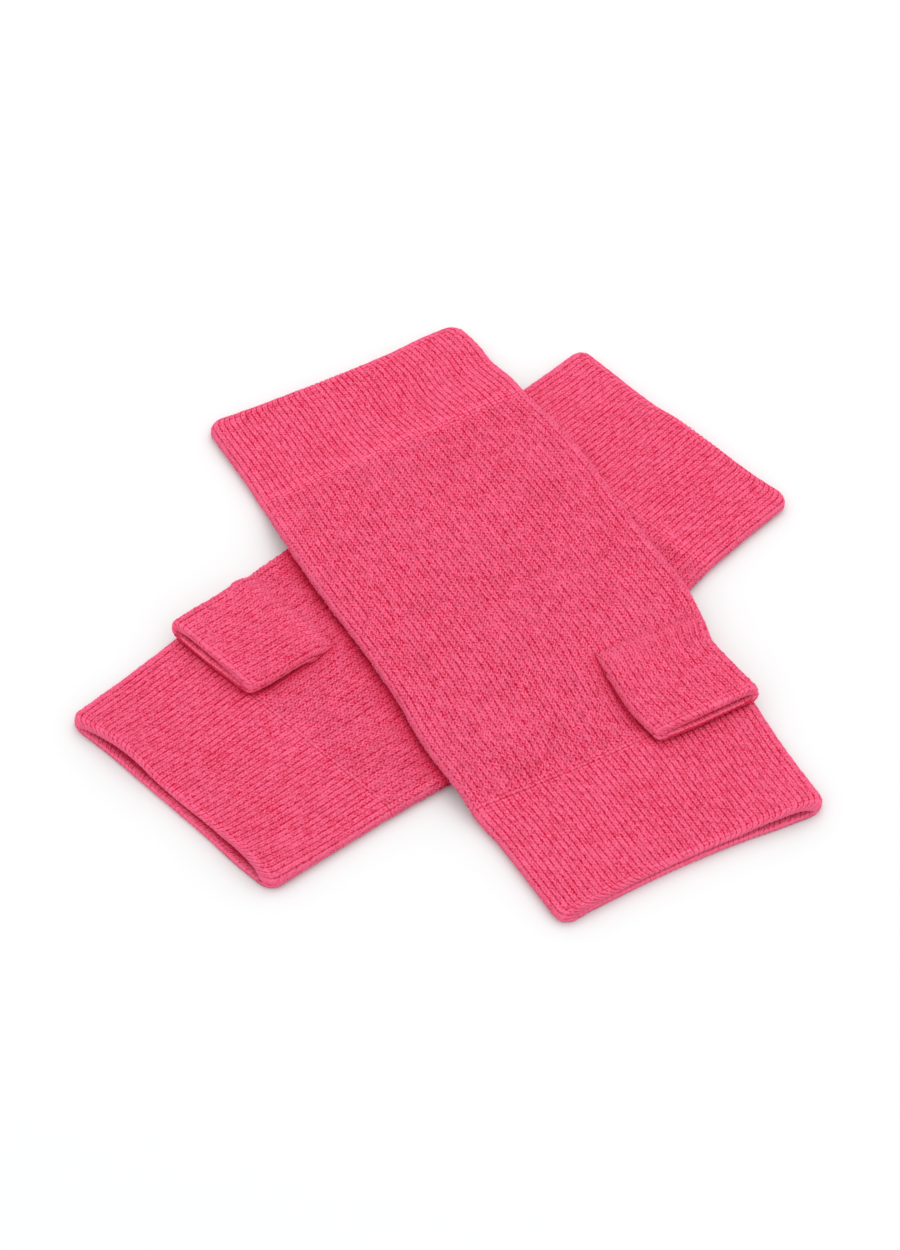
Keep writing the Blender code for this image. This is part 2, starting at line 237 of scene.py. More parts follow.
# How an open end gapes, from its far fold at -1 to its thumb-side fold at 1: the top layer's rise, how far
# its edge is drawn back, and how far the bottom layer's edge reaches out, in mm
Mouth = namedtuple("Mouth", "side rise drawn_back reach")
UPPER_HAND_MOUTH = (
    Mouth(-1.0, 0.0, 0.0, 0.0),
    Mouth(-0.5, 0.0, 0.3, 0.1),
    Mouth(0.0, 0.2, 0.3, 0.2),
    Mouth(0.4, 0.5, 0.3, 0.3),
    Mouth(0.65, 1.3, 0.4, 0.4),
    Mouth(0.85, 1.5, 0.3, 0.3),
    Mouth(1.0, 0.0, 0.0, 0.0),
)
LOWER_HAND_MOUTH = (
    Mouth(-1.0, 0.0, 0.0, 0.0),
    Mouth(-0.9, 1.4, 0.8, 0.1),
    Mouth(-0.74, 2.0, 1.4, 0.3),
    Mouth(-0.5, 1.3, 1.4, 0.4),
    Mouth(-0.1, 0.8, 1.2, 0.5),
    Mouth(0.15, 1.0, 1.3, 0.4),
    Mouth(0.4, 2.0, 1.7, 0.2),
    Mouth(0.62, 1.9, 1.6, 0.0),
    Mouth(0.85, 0.8, 0.9, 0.0),
    Mouth(1.0, 0.0, 0.0, 0.0),
)
WRIST_MOUTH = (
    Mouth(-1.0, 0.0, 0.0, 0.0),
    Mouth(0.0, 0.6, 0.0, 0.3),
    Mouth(1.0, 0.0, 0.0, 0.0),
)
UPPER_THUMB_MOUTH = (
    Mouth(-1.0, 0.0, 0.0, 0.6),
    Mouth(-0.7, 0.2, 0.1, 1.1),
    Mouth(-0.2, 0.5, 0.1, 1.3),
    Mouth(0.4, 0.7, 0.1, 1.0),
    Mouth(0.85, 0.6, 0.2, 0.9),
    Mouth(1.0, 0.0, 0.1, 0.4),
)
LOWER_THUMB_MOUTH = (
    Mouth(-1.0, 0.0, 0.0, 0.0),
    Mouth(-0.6, 0.1, 0.4, 0.5),
    Mouth(0.0, 0.5, 0.7, 0.9),
    Mouth(0.6, 0.8, 0.6, 0.8),
    Mouth(0.9, 0.5, 0.2, 0.4),
    Mouth(1.0, 0.0, 0.0, 0.0),
)

# hand is 1 where the thumb is on the right as the wrist end points away, and -1 where it is on the left
Warmer = namedtuple("Warmer", "name x y turn hand girth outline ends thumb hand_mouth thumb_mouth seed")
UPPER = Warmer(
    name="upper",
    x=17.1 * MM,
    y=-0.5 * MM,
    turn=math.radians(30.5),
    hand=1,
    girth=UPPER_BODY_GIRTH,
    outline=UPPER_OUTLINE,
    ends=UPPER_ENDS,
    thumb=UPPER_THUMB,
    hand_mouth=UPPER_HAND_MOUTH,
    thumb_mouth=UPPER_THUMB_MOUTH,
    seed=11,
)
LOWER = Warmer(
    name="lower",
    x=-3.1 * MM,
    y=-2.2 * MM,
    turn=math.radians(-44.0),
    hand=-1,
    girth=LOWER_BODY_GIRTH,
    outline=LOWER_OUTLINE,
    ends=LOWER_ENDS,
    thumb=LOWER_THUMB,
    hand_mouth=LOWER_HAND_MOUTH,
    thumb_mouth=LOWER_THUMB_MOUTH,
    seed=23,
)
PAIR = (UPPER, LOWER)

# Mesh of the stitches: fine on top and round the folds, and coarser underneath. A furrow goes on for about
# FURROW_BREAK courses before it closes up or opens.
COLUMNS_PER_WALE = 4
COLUMNS_UNDER_WALE = 2
ROWS_PER_COURSE = 3
RIM_ROWS = 6
EDGE_WALES = 3
INNER_ROW_STEP = 6 * MM
LIP_ROWS = (0.6, 1.6, 3.2, 5.5)
EASE_COURSES = 3
STITCH_SLANT = 1.1
SEAM_SLANT = 0.48 * MM
FURROW_BREAK = 3.1

# Parts of a bake map: the share of its width for the top layer, and of its height for the outside
TOP_SHARE = 0.66
OUTSIDE_SHARE = 0.84
WALLS_SHARE = 0.97

# Loose fibres: the share on each piece, and how thickly they stand on open cloth, on raised nap and in creases
NAP_SHARES = {"body": 0.54, "wrist_rib": 0.15, "hand_rib": 0.18, "thumb": 0.13}
NAP_OPEN = 0.6
NAP_RAISED = 1.6
NAP_CREASED = 0.9
NAP_LOWEST_FACING = -0.35

# Shape of a fibre: how far it bends down, leans over, curls and tapers, and how its own sizes differ
FIBRE_SEGMENTS = 3
FIBRE_BEND = 0.35
FIBRE_LEAN = 0.75
FIBRE_CURL = 0.5
FIBRE_TAPER = 0.55
FIBRE_LENGTHS = (0.45, 1.3)
FIBRE_WIDTHS = (0.7, 1.2)
FIBRE_CURLS = (0.3, 1.2)
FIBRE_CLEARANCE = 0.05 * MM

# How finely the wool varies, as noise scales in cycles to the metre, and how high its fluff stands
DYE_CLOUDS = 55.0
DYE_PATCHES = 260.0
YARN_WOBBLE = 900.0
HEATHER_FIBRES = 1700.0
FLUFF_FIBRES = 2600.0
FLUFF_HEIGHT = 0.26 * MM

# Floor, key light and the photograph's camera
FLOOR_HALF = 2.0
FLOOR_LEVEL = -0.05 * MM
FLOOR_SHADE = 0.993
KEY_PLACE = (0.12, 0.50, 0.95)
KEY_SIZE = 0.8
CAMERA_PITCH = math.radians(49.916)
CAMERA_ROLL = math.radians(-1.701)
CAMERA_DISTANCE = 1.25114
CAMERA_AIM = (0.0001, -0.0062, 0.0)
CAMERA_LENS = 117.15

# raised is 1 where the nap stands up, at folds and edges, and lightens the colour there, partly as a painted
# highlight; it goes down to -1 deep in a crease, where it paints shade
Grid = namedtuple("Grid", "places knit bake raised")
Band = namedtuple("Band", "name first last first_course course_height mouth")
HoleRim = namedtuple("HoleRim", "vertices knit bake")


def eased(share):
    """Eases from 0 to 1 as share goes from 0 to 1."""
    share = np.clip(share, 0.0, 1.0)
    return share * share * (3 - 2 * share)


def read_table(rows, column, values, unit=MM):
    """A smooth curve through one column of a table, in metres. The table's first column is in unit."""
    rows = sorted(rows)
    stops = np.array([row[0] * unit for row in rows])
    heights = np.array([getattr(row, column) * MM for row in rows])
    before = np.maximum(np.arange(len(rows)) - 1, 0)
    after = np.minimum(np.arange(len(rows)) + 1, len(rows) - 1)
    slopes = (heights[after] - heights[before]) / (stops[after] - stops[before])
    values = np.clip(values, stops[0], stops[-1])
    span = np.clip(np.searchsorted(stops, values) - 1, 0, len(rows) - 2)
    width = stops[span + 1] - stops[span]
    t = (values - stops[span]) / width
    middle = heights[span] + (heights[span + 1] - heights[span]) * eased(t)
    return middle + t * (1 - t) * width * ((1 - t) * slopes[span] - t * slopes[span + 1])


def corner_inset(distance, radius=CORNER_RADIUS):
    """How far a rounded corner pulls the fold in, at this distance from the open end."""
    reach = radius - np.clip(distance, 0.0, radius)
    return radius - np.sqrt(radius**2 - reach**2)


def warmer_edges(warmer, along):
    """Across positions of the far fold and the thumb-side fold."""
    inset = corner_inset(LENGTH / 2 - np.abs(along))
    far = read_table(warmer.outline, "far_side", along) - inset
    near = read_table(warmer.outline, "thumb_side", along) - inset
    return -far, near


def thumb_edges(warmer, along):
    """Across positions of the thumb tube's two folds."""
    inset = corner_inset(along - warmer.thumb[-1].along * MM, THUMB_CORNER_RADIUS)
    inner = read_table(warmer.thumb, "inner", along) + inset
    outer = read_table(warmer.thumb, "outer", along) - inset
    return inner, outer


def end_drift(warmer, across, along):
    """How far the open end nearby carries a point along the warmer."""
    wrist = read_table(warmer.ends, "wrist_end", across)
    hand = read_table(warmer.ends, "hand_end", across)
    near_end = eased(1 - (LENGTH / 2 - np.abs(along)) / END_RUN)
    return np.where(along > 0, wrist, -hand) * near_end


def own_coordinates(warmer, x, y):
    """Across and along, in a warmer's own coordinates, of points in the world."""
    dx, dy = x - warmer.x, y - warmer.y
    across = (dx * math.cos(warmer.turn) + dy * math.sin(warmer.turn)) * warmer.hand
    along = -dx * math.sin(warmer.turn) + dy * math.cos(warmer.turn)
    return across, along


def cover_height(x, y):
    """How high the lower warmer holds the cloth that lies over it."""
    across, along = own_coordinates(LOWER, x, y)
    far, near = warmer_edges(LOWER, np.clip(along, HAND_SEAM, WRIST_SEAM))
    beyond = np.maximum(across - near, far - across)
    return REST_LEVEL * (1 - eased(beyond / RUN_OUT))


def place(warmer, across, along, height):
    """World positions of points given in the warmer's own coordinates."""
    across = across * warmer.hand
    x = warmer.x + across * math.cos(warmer.turn) - along * math.sin(warmer.turn)
    y = warmer.y + across * math.sin(warmer.turn) + along * math.cos(warmer.turn)
    lift = cover_height(x, y) if warmer is UPPER else 0.0
    return np.stack([x, y, height + lift], -1)


def mouth_shape(mouth, share, distance):
    """How an open end gapes at this share of its ring and distance from its edge.

    Gives the top layer's rise, how far the cloth's edge moves out, and how much thicker its lips are.
    """
    side = np.where(share > 1, 2 - share, share) * 2 - 1
    top = np.where(share <= 1, 1.0, 0.0)
    gape = read_table(mouth, "rise", side, 1)
    back = read_table(mouth, "drawn_back", side, 1)
    reach = read_table(mouth, "reach", side, 1)
    near = eased(1 - distance / MOUTH_RUN)
    out = (reach * (1 - top) - back * top) * eased(1 - distance / OUT_RUN)
    lips = LIP_SWELL * np.clip(1.3 - gape / GAPE_THINS, LIP_LEAST, 1)
    lips = lips + LOWER_LIP * (1 - top) * np.clip(4 - 4 * np.abs(side), 0, 1)
    lips = lips * eased(1 - distance / LIP_RUN)
    return gape * near * top, out, lips


def thumb_tube_shade(warmer, across, along):
    """Painted shade of the thumb tube: 1 under it, falling off beside its inner fold and past its mouth, 0 at
    its outer fold.
    """
    mouth_edge = warmer.thumb[-1].along * MM
    inner, outer = thumb_edges(warmer, np.clip(along, mouth_edge, HOLE_WRIST_EDGE))
    beside = np.maximum(np.maximum(inner - across, mouth_edge - along), 0)
    covered = eased((HOLE_WRIST_EDGE - along) / CREASE_SHADE_START) * eased((outer - across) / CREASE_SHADE_FADE)
    return np.exp(-beside / CREASE_SHADE_REACH) * covered


def cover_shadow(x, y):
    """Painted shadow of the upper warmer on the lower: 1 under it, falling off beside its far fold, and 0 on
    its thumb side.
    """
    across, along = own_coordinates(UPPER, x, y)
    far, _ = warmer_edges(UPPER, np.clip(along, HAND_SEAM, WRIST_SEAM))
    return np.where(across < 0, np.exp(-np.clip(far - across, 0, None) / COVER_SHADE_REACH), 0)


def base_swell(warmer, across, along):
    """How far the body's top layer rises towards the base of the thumb tube."""
    inner, outer = thumb_edges(warmer, HOLE_WRIST_EDGE)
    beside = np.maximum(inner - across, across - outer) / BASE_RUN
    near_base = eased(1 - np.abs(along - HOLE_WRIST_EDGE) / BASE_RUN)
    return BASE_SWELL * near_base * (1 - eased(beside + 0.3))


def flattened_ring(share, left, right, radius):
    """Across, rise from the ring's middle and outward direction on a flattened ring.

    share runs from 0 at the left fold over the top to 1 at the right fold, and on to 2 underneath.
    """
    upper = np.where(share > 1, 2 - share, share)
    quarter = radius * math.pi / 2
    flat = right - left - 2 * radius
    distance = upper * (2 * quarter + flat)
    left_angle = np.clip(distance / radius, 0, math.pi / 2)
    right_angle = np.clip((2 * quarter + flat - distance) / radius, 0, math.pi / 2)
    across = left + radius * (1 - np.cos(left_angle)) + np.clip(distance - quarter, 0, flat)
    across = across + radius * np.cos(right_angle)
    out_across = np.cos(right_angle) - np.cos(left_angle)
    out_up = np.sin(left_angle) * np.sin(right_angle) * np.where(share > 1, -1, 1)
    return across, radius * out_up, out_across, out_up


def wandering(x, y, size, seed):
    """A smooth value that wanders between about -1 and 1 over a surface, with waves of about this size."""
    random = np.random.default_rng(seed)
    total = np.zeros(np.broadcast(x, y).shape)
    for _ in range(WAVES):
        angle, phase = random.uniform(0, 2 * math.pi, 2)
        wave = 2 * math.pi / (size * random.uniform(0.7, 1.7))
        total += np.sin((x * math.cos(angle) + y * math.sin(angle)) * wave + phase)
    return 2 * total / WAVES


def chance(columns, rows, seed):
    """A number from 0 to 1 for each whole column and row, mixed evenly between rows."""
    table = np.random.default_rng(seed).random((128, 256))
    row = np.floor(rows).astype(int)
    mix = rows - row
    column = np.floor(columns).astype(int) % 128
    return table[column, row % 256] * (1 - mix) + table[column, (row + 1) % 256] * mix


def wale_side(wale):
    """0 in the middle of a wale, 1 in the furrow beside it."""
    return np.abs(2 * (wale % 1) - 1)


def knit_relief(knit, wale, course, ribbed, seed):
    """Height of the yarn above the cloth's mean face. ribbed goes from 0, plain knit, to 1, rib.

    Furrows close up here and there, more so in the plain knit, and each stitch has its own size.
    """
    side = wale_side(wale)
    leg = np.sin(math.pi * side)
    loop = np.abs(np.sin(math.pi * course)) ** 0.7
    furrow = knit.body_furrow + (knit.rib_furrow - knit.body_furrow) * ribbed
    stitch = knit.body_stitch + (knit.rib_stitch - knit.body_stitch) * ribbed
    closed_up = chance(np.round(wale), course / FURROW_BREAK, seed)
    furrow = furrow * (0.45 + 0.35 * ribbed + (1.1 - 0.65 * ribbed) * closed_up)
    size = 1 + knit.unevenness * (chance(wale, np.floor(course) * 7.0, seed + 1) - 0.5)
    return furrow * (0.42 - side**2.6) + stitch * (leg * (0.3 + 0.7 * loop) * size + 0.35 * loop - 0.6)


def ring_columns(wales):
    """Wale coordinates of a tube's columns: fine over the top and round the folds, coarser underneath."""
    top = np.arange(wales * COLUMNS_PER_WALE) / COLUMNS_PER_WALE
    fold = np.arange(EDGE_WALES * COLUMNS_PER_WALE) / COLUMNS_PER_WALE
    under = np.arange((wales - 2 * EDGE_WALES) * COLUMNS_UNDER_WALE) / COLUMNS_UNDER_WALE
    return np.concatenate([top, wales + fold, wales + EDGE_WALES + under, 2 * wales - EDGE_WALES + fold])


def course_rows(first, last, course_height):
    """Row positions between two ends, with their course coordinates and a whole number of courses."""
    courses = max(1, round(abs(last - first) / course_height))
    count = courses * ROWS_PER_COURSE
    steps = np.arange(count + 1) / ROWS_PER_COURSE
    return first + (last - first) * steps / courses, steps


def slant(steps, side, spacing, first, last):
    """How far a stitch's legs run along the cloth at each row and column.

    first and last are the slants at the two ends: 0 where the edge is straight, the seam's at a seam.
    """
    own = STITCH_SLANT * spacing
    near_first = 1 - eased(steps / EASE_COURSES)
    near_last = 1 - eased((steps[-1] - steps) / EASE_COURSES)
    amount = own + (first - own) * near_first + (last - own) * near_last
    return amount[:, None] * (side - 0.5)[None, :]


def rim_turn():
    """Angles of the rows that roll a wall's open edge over, from its outside to its inside."""
    return np.linspace(0, math.pi, RIM_ROWS + 1)[1:]


def lip_inside_shade(roll, share, distance):
    """Painted shade inside an open end: 0 on a rolled lip, 1 on the inside of its wall. On the bottom layer
    the painted shade starts further in.
    """
    inside = np.where(roll < math.pi, 0, eased((distance - LIP_SHADE_START) / CREASE_SHADE_START))
    return np.where(share > 1, inside, eased((roll / math.pi - ROLL_SHADE_START) / ROLL_SHADE_RUN))


def wall_rows(outer, steps, rim_along, turn, inside, edge):
    """Rows of one wall: out along its outside, over its edge, and back along its inside.

    Gives their places along the warmer, how far they have rolled over, their courses and a course's height.
    """
    spacing = abs(outer[-1] - outer[0]) / steps[-1]
    flat = np.concatenate([outer, rim_along, inside])
    roll = np.concatenate([np.zeros(len(outer)), turn, np.full(len(inside), math.pi)])[:, None]
    course = np.concatenate([steps, steps[-1] + turn / math.pi])
    course = np.concatenate([course, course[-1] + 1 + np.abs(inside - edge) / spacing])
    return flat, roll, course, spacing


def wall_inset(roll, walls):
    """How far inside the cloth's outer face a row lies, as its wall rolls over."""
    return np.where(roll < math.pi, walls / 2 * (1 - np.cos(roll)), walls)


def rolled_share(roll):
    """How much of the stitches' relief shows: all of it outside, and none inside."""
    return np.sqrt(np.clip(1 - roll / math.pi, 0, 1))


def lip_share(distance):
    """How much of the stitches' relief shows near an open end, where the cloth is stretched smoother."""
    return LIP_RELIEF + (1 - LIP_RELIEF) * eased((distance - LIP_RELIEF_START) / LIP_RELIEF_RUN)


def knit_place(wale, course, wales, course_step):
    """The knit's own coordinates, wale and course, at each row and column of a closed tube."""
    u = np.append(wale, wale[0] + 2 * wales)
    v = np.append(course, course[-1] + course_step)
    return np.stack(np.broadcast_arrays(u[None, :], v[:, None]), -1)


def bake_place(columns, wales, outside_rows, inside_rows):
    """Even places on a bake map for each row and column of a closed tube."""
    share = np.append(columns, 2 * wales) / wales
    u = np.where(share <= 1, share * TOP_SHARE, TOP_SHARE + (share - 1) * (1 - TOP_SHARE))
    outside = np.linspace(0, OUTSIDE_SHARE, outside_rows)
    walls = np.linspace(OUTSIDE_SHARE, WALLS_SHARE, inside_rows + 2)[1:]
    v = np.concatenate([outside, walls])
    return np.stack(np.broadcast_arrays(u[None, :], v[:, None]), -1)


def tube_faces(rows, columns, reverse, skip=()):
    """Corner rows and columns of the quads of a grid that closes both ways."""
    r, c = np.meshgrid(np.arange(rows), np.arange(columns), indexing="ij")
    keep = np.ones((rows, columns), bool)
    for first_row, last_row, first_column, last_column in skip:
        keep[first_row:last_row, first_column:last_column] = False
    r, c = r[keep], c[keep]
    corner_rows = np.stack([r, r, r + 1, r + 1], -1)
    corner_columns = np.stack([c, c + 1, c + 1, c], -1)
    if reverse:
        return corner_rows[:, ::-1], corner_columns[:, ::-1]
    return corner_rows, corner_columns


def build_mesh(name, grid, corner_rows, corner_columns, walls, rim=None):
    """A mesh of quads on a closed grid, smooth but for its cut walls, with its knit and bake coordinates."""
    rows, columns = grid.places.shape[:2]
    vertices = (corner_rows % rows) * columns + corner_columns % columns
    knit = grid.knit[corner_rows, corner_columns]
    bake = grid.bake[corner_rows, corner_columns]
    cut = np.isin(corner_rows.min(1), walls)
    if rim is not None:
        vertices = np.concatenate([vertices, rim.vertices])
        knit = np.concatenate([knit, rim.knit])
        bake = np.concatenate([bake, rim.bake])
        cut = np.concatenate([cut, np.ones(len(rim.vertices), bool)])
    mesh = bpy.data.meshes.new(name)
    mesh.vertices.add(rows * columns)
    mesh.vertices.foreach_set("co", grid.places.reshape(-1).astype(np.float32))
    mesh.loops.add(vertices.size)
    mesh.loops.foreach_set("vertex_index", vertices.reshape(-1).astype(np.int32))
    mesh.polygons.add(len(vertices))
    mesh.polygons.foreach_set("loop_start", np.arange(0, vertices.size, 4, dtype=np.int32))
    mesh.update(calc_edges=True)
    for layer_name, places in (("OFBake", bake), ("Knit", knit)):
        layer = mesh.uv_layers.new(name=layer_name)
        layer.uv.foreach_set("vector", places.reshape(-1).astype(np.float32))
    # Raised nap above 0, lighter partly as a painted highlight, and painted crease shade below 0
    raised = mesh.attributes.new("nap_highlight_and_crease_shade", "FLOAT", "POINT")
    raised.data.foreach_set("value", grid.raised.reshape(-1).astype(np.float32))
    mesh.polygons.foreach_set("use_smooth", ~cut)
    return mesh


def add_piece(name, mesh, material):
    """Links one piece of cloth, which rides on the warmers' one body."""
    piece = bpy.data.objects.new(name, mesh)
    bpy.context.scene.collection.objects.link(piece)
    piece.data.materials.append(material)
    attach(piece, "root")
    return piece


def uneven_lie(warmer, knit, across, along):
    """How far the cloth wanders up and sideways from its even form."""
    up = knit.lie * wandering(across, along, LONG_WAVE, warmer.seed + 5)
    up = up + SHORT_WAVE_SHARE * knit.lie * wandering(across, along, SHORT_WAVE, warmer.seed + 6)
    return up, SIDE_WAVE_SHARE * knit.lie * wandering(across, along, SIDE_WAVE, warmer.seed + 7)


def cloth_face(warmer, knit, share, along, inset):
    """Mean face of a warmer's tube in its own coordinates, and the direction in which it faces."""
    left, right = warmer_edges(warmer, along)
    radius = THICKNESS / 2 - inset
    across, rise, out_across, out_up = flattened_ring(share, left + inset, right - inset, radius)
    top = np.where(share <= 1, 1.0, 0.0) * np.abs(out_up)
    swell = base_swell(warmer, across, along) * np.where(inset < WALL / 2, 1.0, 0.0)
    up, sideways = uneven_lie(warmer, knit, across, along)
    height = THICKNESS / 2 + rise + top * (swell + up)
    along = along + end_drift(warmer, across, along)
    return across + sideways, along, height, out_across, out_up


def seam_band(along):
    """1 where a rib joins the body, 0 a little way off. The hand seam is the fainter one."""
    wrist = np.exp(-(((along - WRIST_SEAM - 0.5 * MM) / WRIST_SEAM_WIDTH) ** 2))
    hand = np.exp(-(((along - HAND_SEAM) / HAND_SEAM_WIDTH) ** 2))
    return WRIST_SEAM_SHOWS * wrist + HAND_SEAM_SHOWS * hand


def ribbed_share(along):
    """1 in the ribs at both ends, 0 in the plain body."""
    wrist = eased((along - WRIST_SEAM) / RIB_BLEND + 0.5)
    return wrist + eased((HAND_SEAM - along) / RIB_BLEND + 0.5)


def rows_inside(first, last, lips=()):
    """Row positions of the inside of a wall, closer together behind an open end's lips."""
    sign = math.copysign(1, last - first)
    close = [first + sign * step * MM for step in lips]
    start = close[-1] if close else first
    count = max(1, math.ceil(abs(last - start) / INNER_ROW_STEP))
    return np.concatenate([[first], close, np.linspace(start, last, count + 1)[1:]])


def fold_share(share, wales, reach):
    """1 at a tube's folds, falling to 0 a few wales away."""
    beside = np.abs(share - np.round(share)) * wales
    return np.clip(1 - beside / reach, 0, 1)


def tube_crease_shade(warmer, places, across, along, share):
    """1 where a tube gets painted crease shade: under its thumb tube, and under the other warmer."""
    crease = thumb_tube_shade(warmer, across, along) * (share <= 1)
    if warmer is LOWER:
        crease = np.maximum(crease, cover_shadow(places[..., 0], places[..., 1]))
    return crease


def tube_grid(warmer, knit, band, inside):
    """Grid of one band of a warmer's tube, out to its far end or edge, and back along its inside."""
    sign = math.copysign(1, band.last - band.first)
    last = band.last - sign * WALL / 2 if band.mouth else band.last
    turn = rim_turn() if band.mouth else np.zeros(0)
    inside = inside[1:] if band.mouth else inside
    outer, steps = course_rows(band.first, last, band.course_height)
    rim_along = last + sign * WALL / 2 * np.sin(turn)
    flat, roll, course, spacing = wall_rows(outer, steps, rim_along, turn, inside, last)
    course = (band.first_course + sign * course)[:, None]
    columns = ring_columns(WALES)
    share = np.broadcast_to(columns / WALES, (len(flat), len(columns)))
    along = np.repeat(flat[:, None], len(columns), 1)
    last_slant = 0 if band.mouth else SEAM_SLANT
    along[: len(outer)] += slant(steps, wale_side(columns), spacing, SEAM_SLANT, last_slant)
    distance = np.abs(band.last - flat)[:, None]
    swell = moved = lips = 0.0
    if band.mouth:
        swell, moved, lips = mouth_shape(band.mouth, share, distance)
    inset = wall_inset(roll, WALL + lips)
    across, cloth_along, height, out_across, out_up = cloth_face(warmer, knit, share, along, inset)

    seam = seam_band(along)
    ribbed = ribbed_share(along)
    relief = knit_relief(knit, columns[None, :], course, ribbed, warmer.seed)
    relief = relief * (1 - SEAM_CALM * np.clip(seam, 0, 1)) + RIB_LIFT * ribbed + SEAM_LIFT * seam
    relief = relief * rolled_share(roll) * (lip_share(distance) if band.mouth else 1.0)
    facing = np.cos(roll)
    across = across + relief * out_across * facing
    height = height + swell + relief * out_up * facing
    cloth_along = cloth_along + sign * (moved + np.sin(roll) * relief)
    places = place(warmer, across, cloth_along, height)

    # Raised nap at the folds, seams and open ends is lighter, partly as a painted highlight
    raised = FOLD_NAP_AND_HIGHLIGHT * fold_share(share, WALES, FOLD_WALES) + SEAM_NAP_AND_HIGHLIGHT * seam
    if band.mouth:
        raised = raised + np.clip(1 - distance / NAP_AND_HIGHLIGHT_EDGE, 0, 1)
    # Painted shade under the thumb tube, under the other warmer and inside the open ends
    crease = tube_crease_shade(warmer, places, across, cloth_along, share)
    crease = np.maximum(crease, lip_inside_shade(roll, share, distance))
    raised = np.clip(raised, 0, 1) * (1 - crease) - crease
    knit_map = knit_place(columns, course[:, 0], WALES, sign)
    bake_map = bake_place(columns, WALES, len(outer) + len(turn), len(inside))
    return Grid(places, knit_map, bake_map, raised)


def hole_rim(grid, first_row, last_row, first_column, last_column, inner_row):
    """Quads between the outer and inner walls, round the edge of the thumb opening."""
    across = list(range(first_column, last_column))
    down = list(range(first_row, last_row))
    loop = [(first_row, c) for c in across] + [(r, last_column) for r in down]
    loop += [(last_row, c + 1) for c in reversed(across)] + [(r + 1, first_column) for r in reversed(down)]
    columns = grid.places.shape[1]
    low, high = (WALLS_SHARE + 1) / 2, 1.0
    step = 1 / len(loop)
    vertices, knit, bake = [], [], []
    for i, here in enumerate(loop):
        after = loop[(i + 1) % len(loop)]
        corners = (here, after, (inner_row(after[0]), after[1]), (inner_row(here[0]), here[1]))
        vertices.append([row * columns + column for row, column in corners])
        knit.append([grid.knit[corner] for corner in (here, after, after, here)])
        u = i / len(loop)
        bake.append([(u, low), (u + step, low), (u + step, high), (u, high)])
    return HoleRim(np.array(vertices), np.array(knit), np.array(bake))


def body_rows(knit):
    """The body's rows and courses, and the rows at the thumb opening's hand and wrist edges."""
    rows, steps = course_rows(HAND_SEAM, WRIST_SEAM, knit.course_height)
    hand_row = int(np.argmin(np.abs(rows - HOLE_HAND_EDGE)))
    wrist_row = int(np.argmin(np.abs(rows - HOLE_WRIST_EDGE)))
    return rows, steps, hand_row, wrist_row


def body_mesh(warmer, knit):
    """The plain tube between the ribs, with the thumb opening in its top layer."""
    outer, _, first_row, last_row = body_rows(knit)
    hole_rows = outer[first_row : last_row + 1][::-1]
    wrist_part = rows_inside(WRIST_SEAM, hole_rows[0])[:-1]
    hand_part = rows_inside(hole_rows[-1], HAND_SEAM)[1:]
    inside = np.concatenate([wrist_part, hole_rows, hand_part])
    band = Band("body", HAND_SEAM, WRIST_SEAM, 0, knit.course_height, None)
    grid = tube_grid(warmer, knit, band, inside)
    first_column = FIRST_WALE * COLUMNS_PER_WALE
    last_column = first_column + (THUMB_WALES - 2) * COLUMNS_PER_WALE
    inner_start = len(outer) + len(wrist_part)

    def inner_row(row):
        return inner_start + last_row - row

    skip = (
        (first_row, last_row, first_column, last_column),
        (inner_row(last_row), inner_row(first_row), first_column, last_column),
    )
    rim = hole_rim(grid, first_row, last_row, first_column, last_column, inner_row)
    reverse = warmer.hand < 0
    if reverse:
        rim = HoleRim(*(part[:, ::-1] for part in rim))
    rows, columns = grid.places.shape[:2]
    walls = (len(outer) - 1, rows - 1)
    return build_mesh(warmer.name + "_body", grid, *tube_faces(rows, columns, reverse, skip), walls, rim)


def rib_mesh(warmer, knit, band):
    """A ribbed band from its seam with the body to a rolled open end."""
    sign = math.copysign(1, band.last)
    inside = rows_inside(band.last - sign * WALL / 2, band.first, LIP_ROWS)
    grid = tube_grid(warmer, knit, band, inside)
    rows, columns = grid.places.shape[:2]
    faces = tube_faces(rows, columns, warmer.hand * sign < 0)
    return build_mesh(f"{warmer.name}_{band.name}", grid, *faces, (rows - 1,))


def opening_edge(columns):
    """Where each wale of the thumb tube starts on the edge of its opening in the body.

    Gives the body's wale there, and from_top: 1 at the opening's wrist edge, 0 at its hand edge.
    """
    wales = THUMB_WALES
    stops = [0, 1, wales - 1, wales, wales + 1, 2 * wales - 1, 2 * wales]
    start_wale = FIRST_WALE + np.interp(columns, stops, [0, 0, wales - 2, wales - 2, wales - 2, 0, 0])
    from_top = np.interp(columns, stops, [0.5, 1, 1, 0.5, 0, 0, 0.5])
    return start_wale[None, :], from_top[None, :]


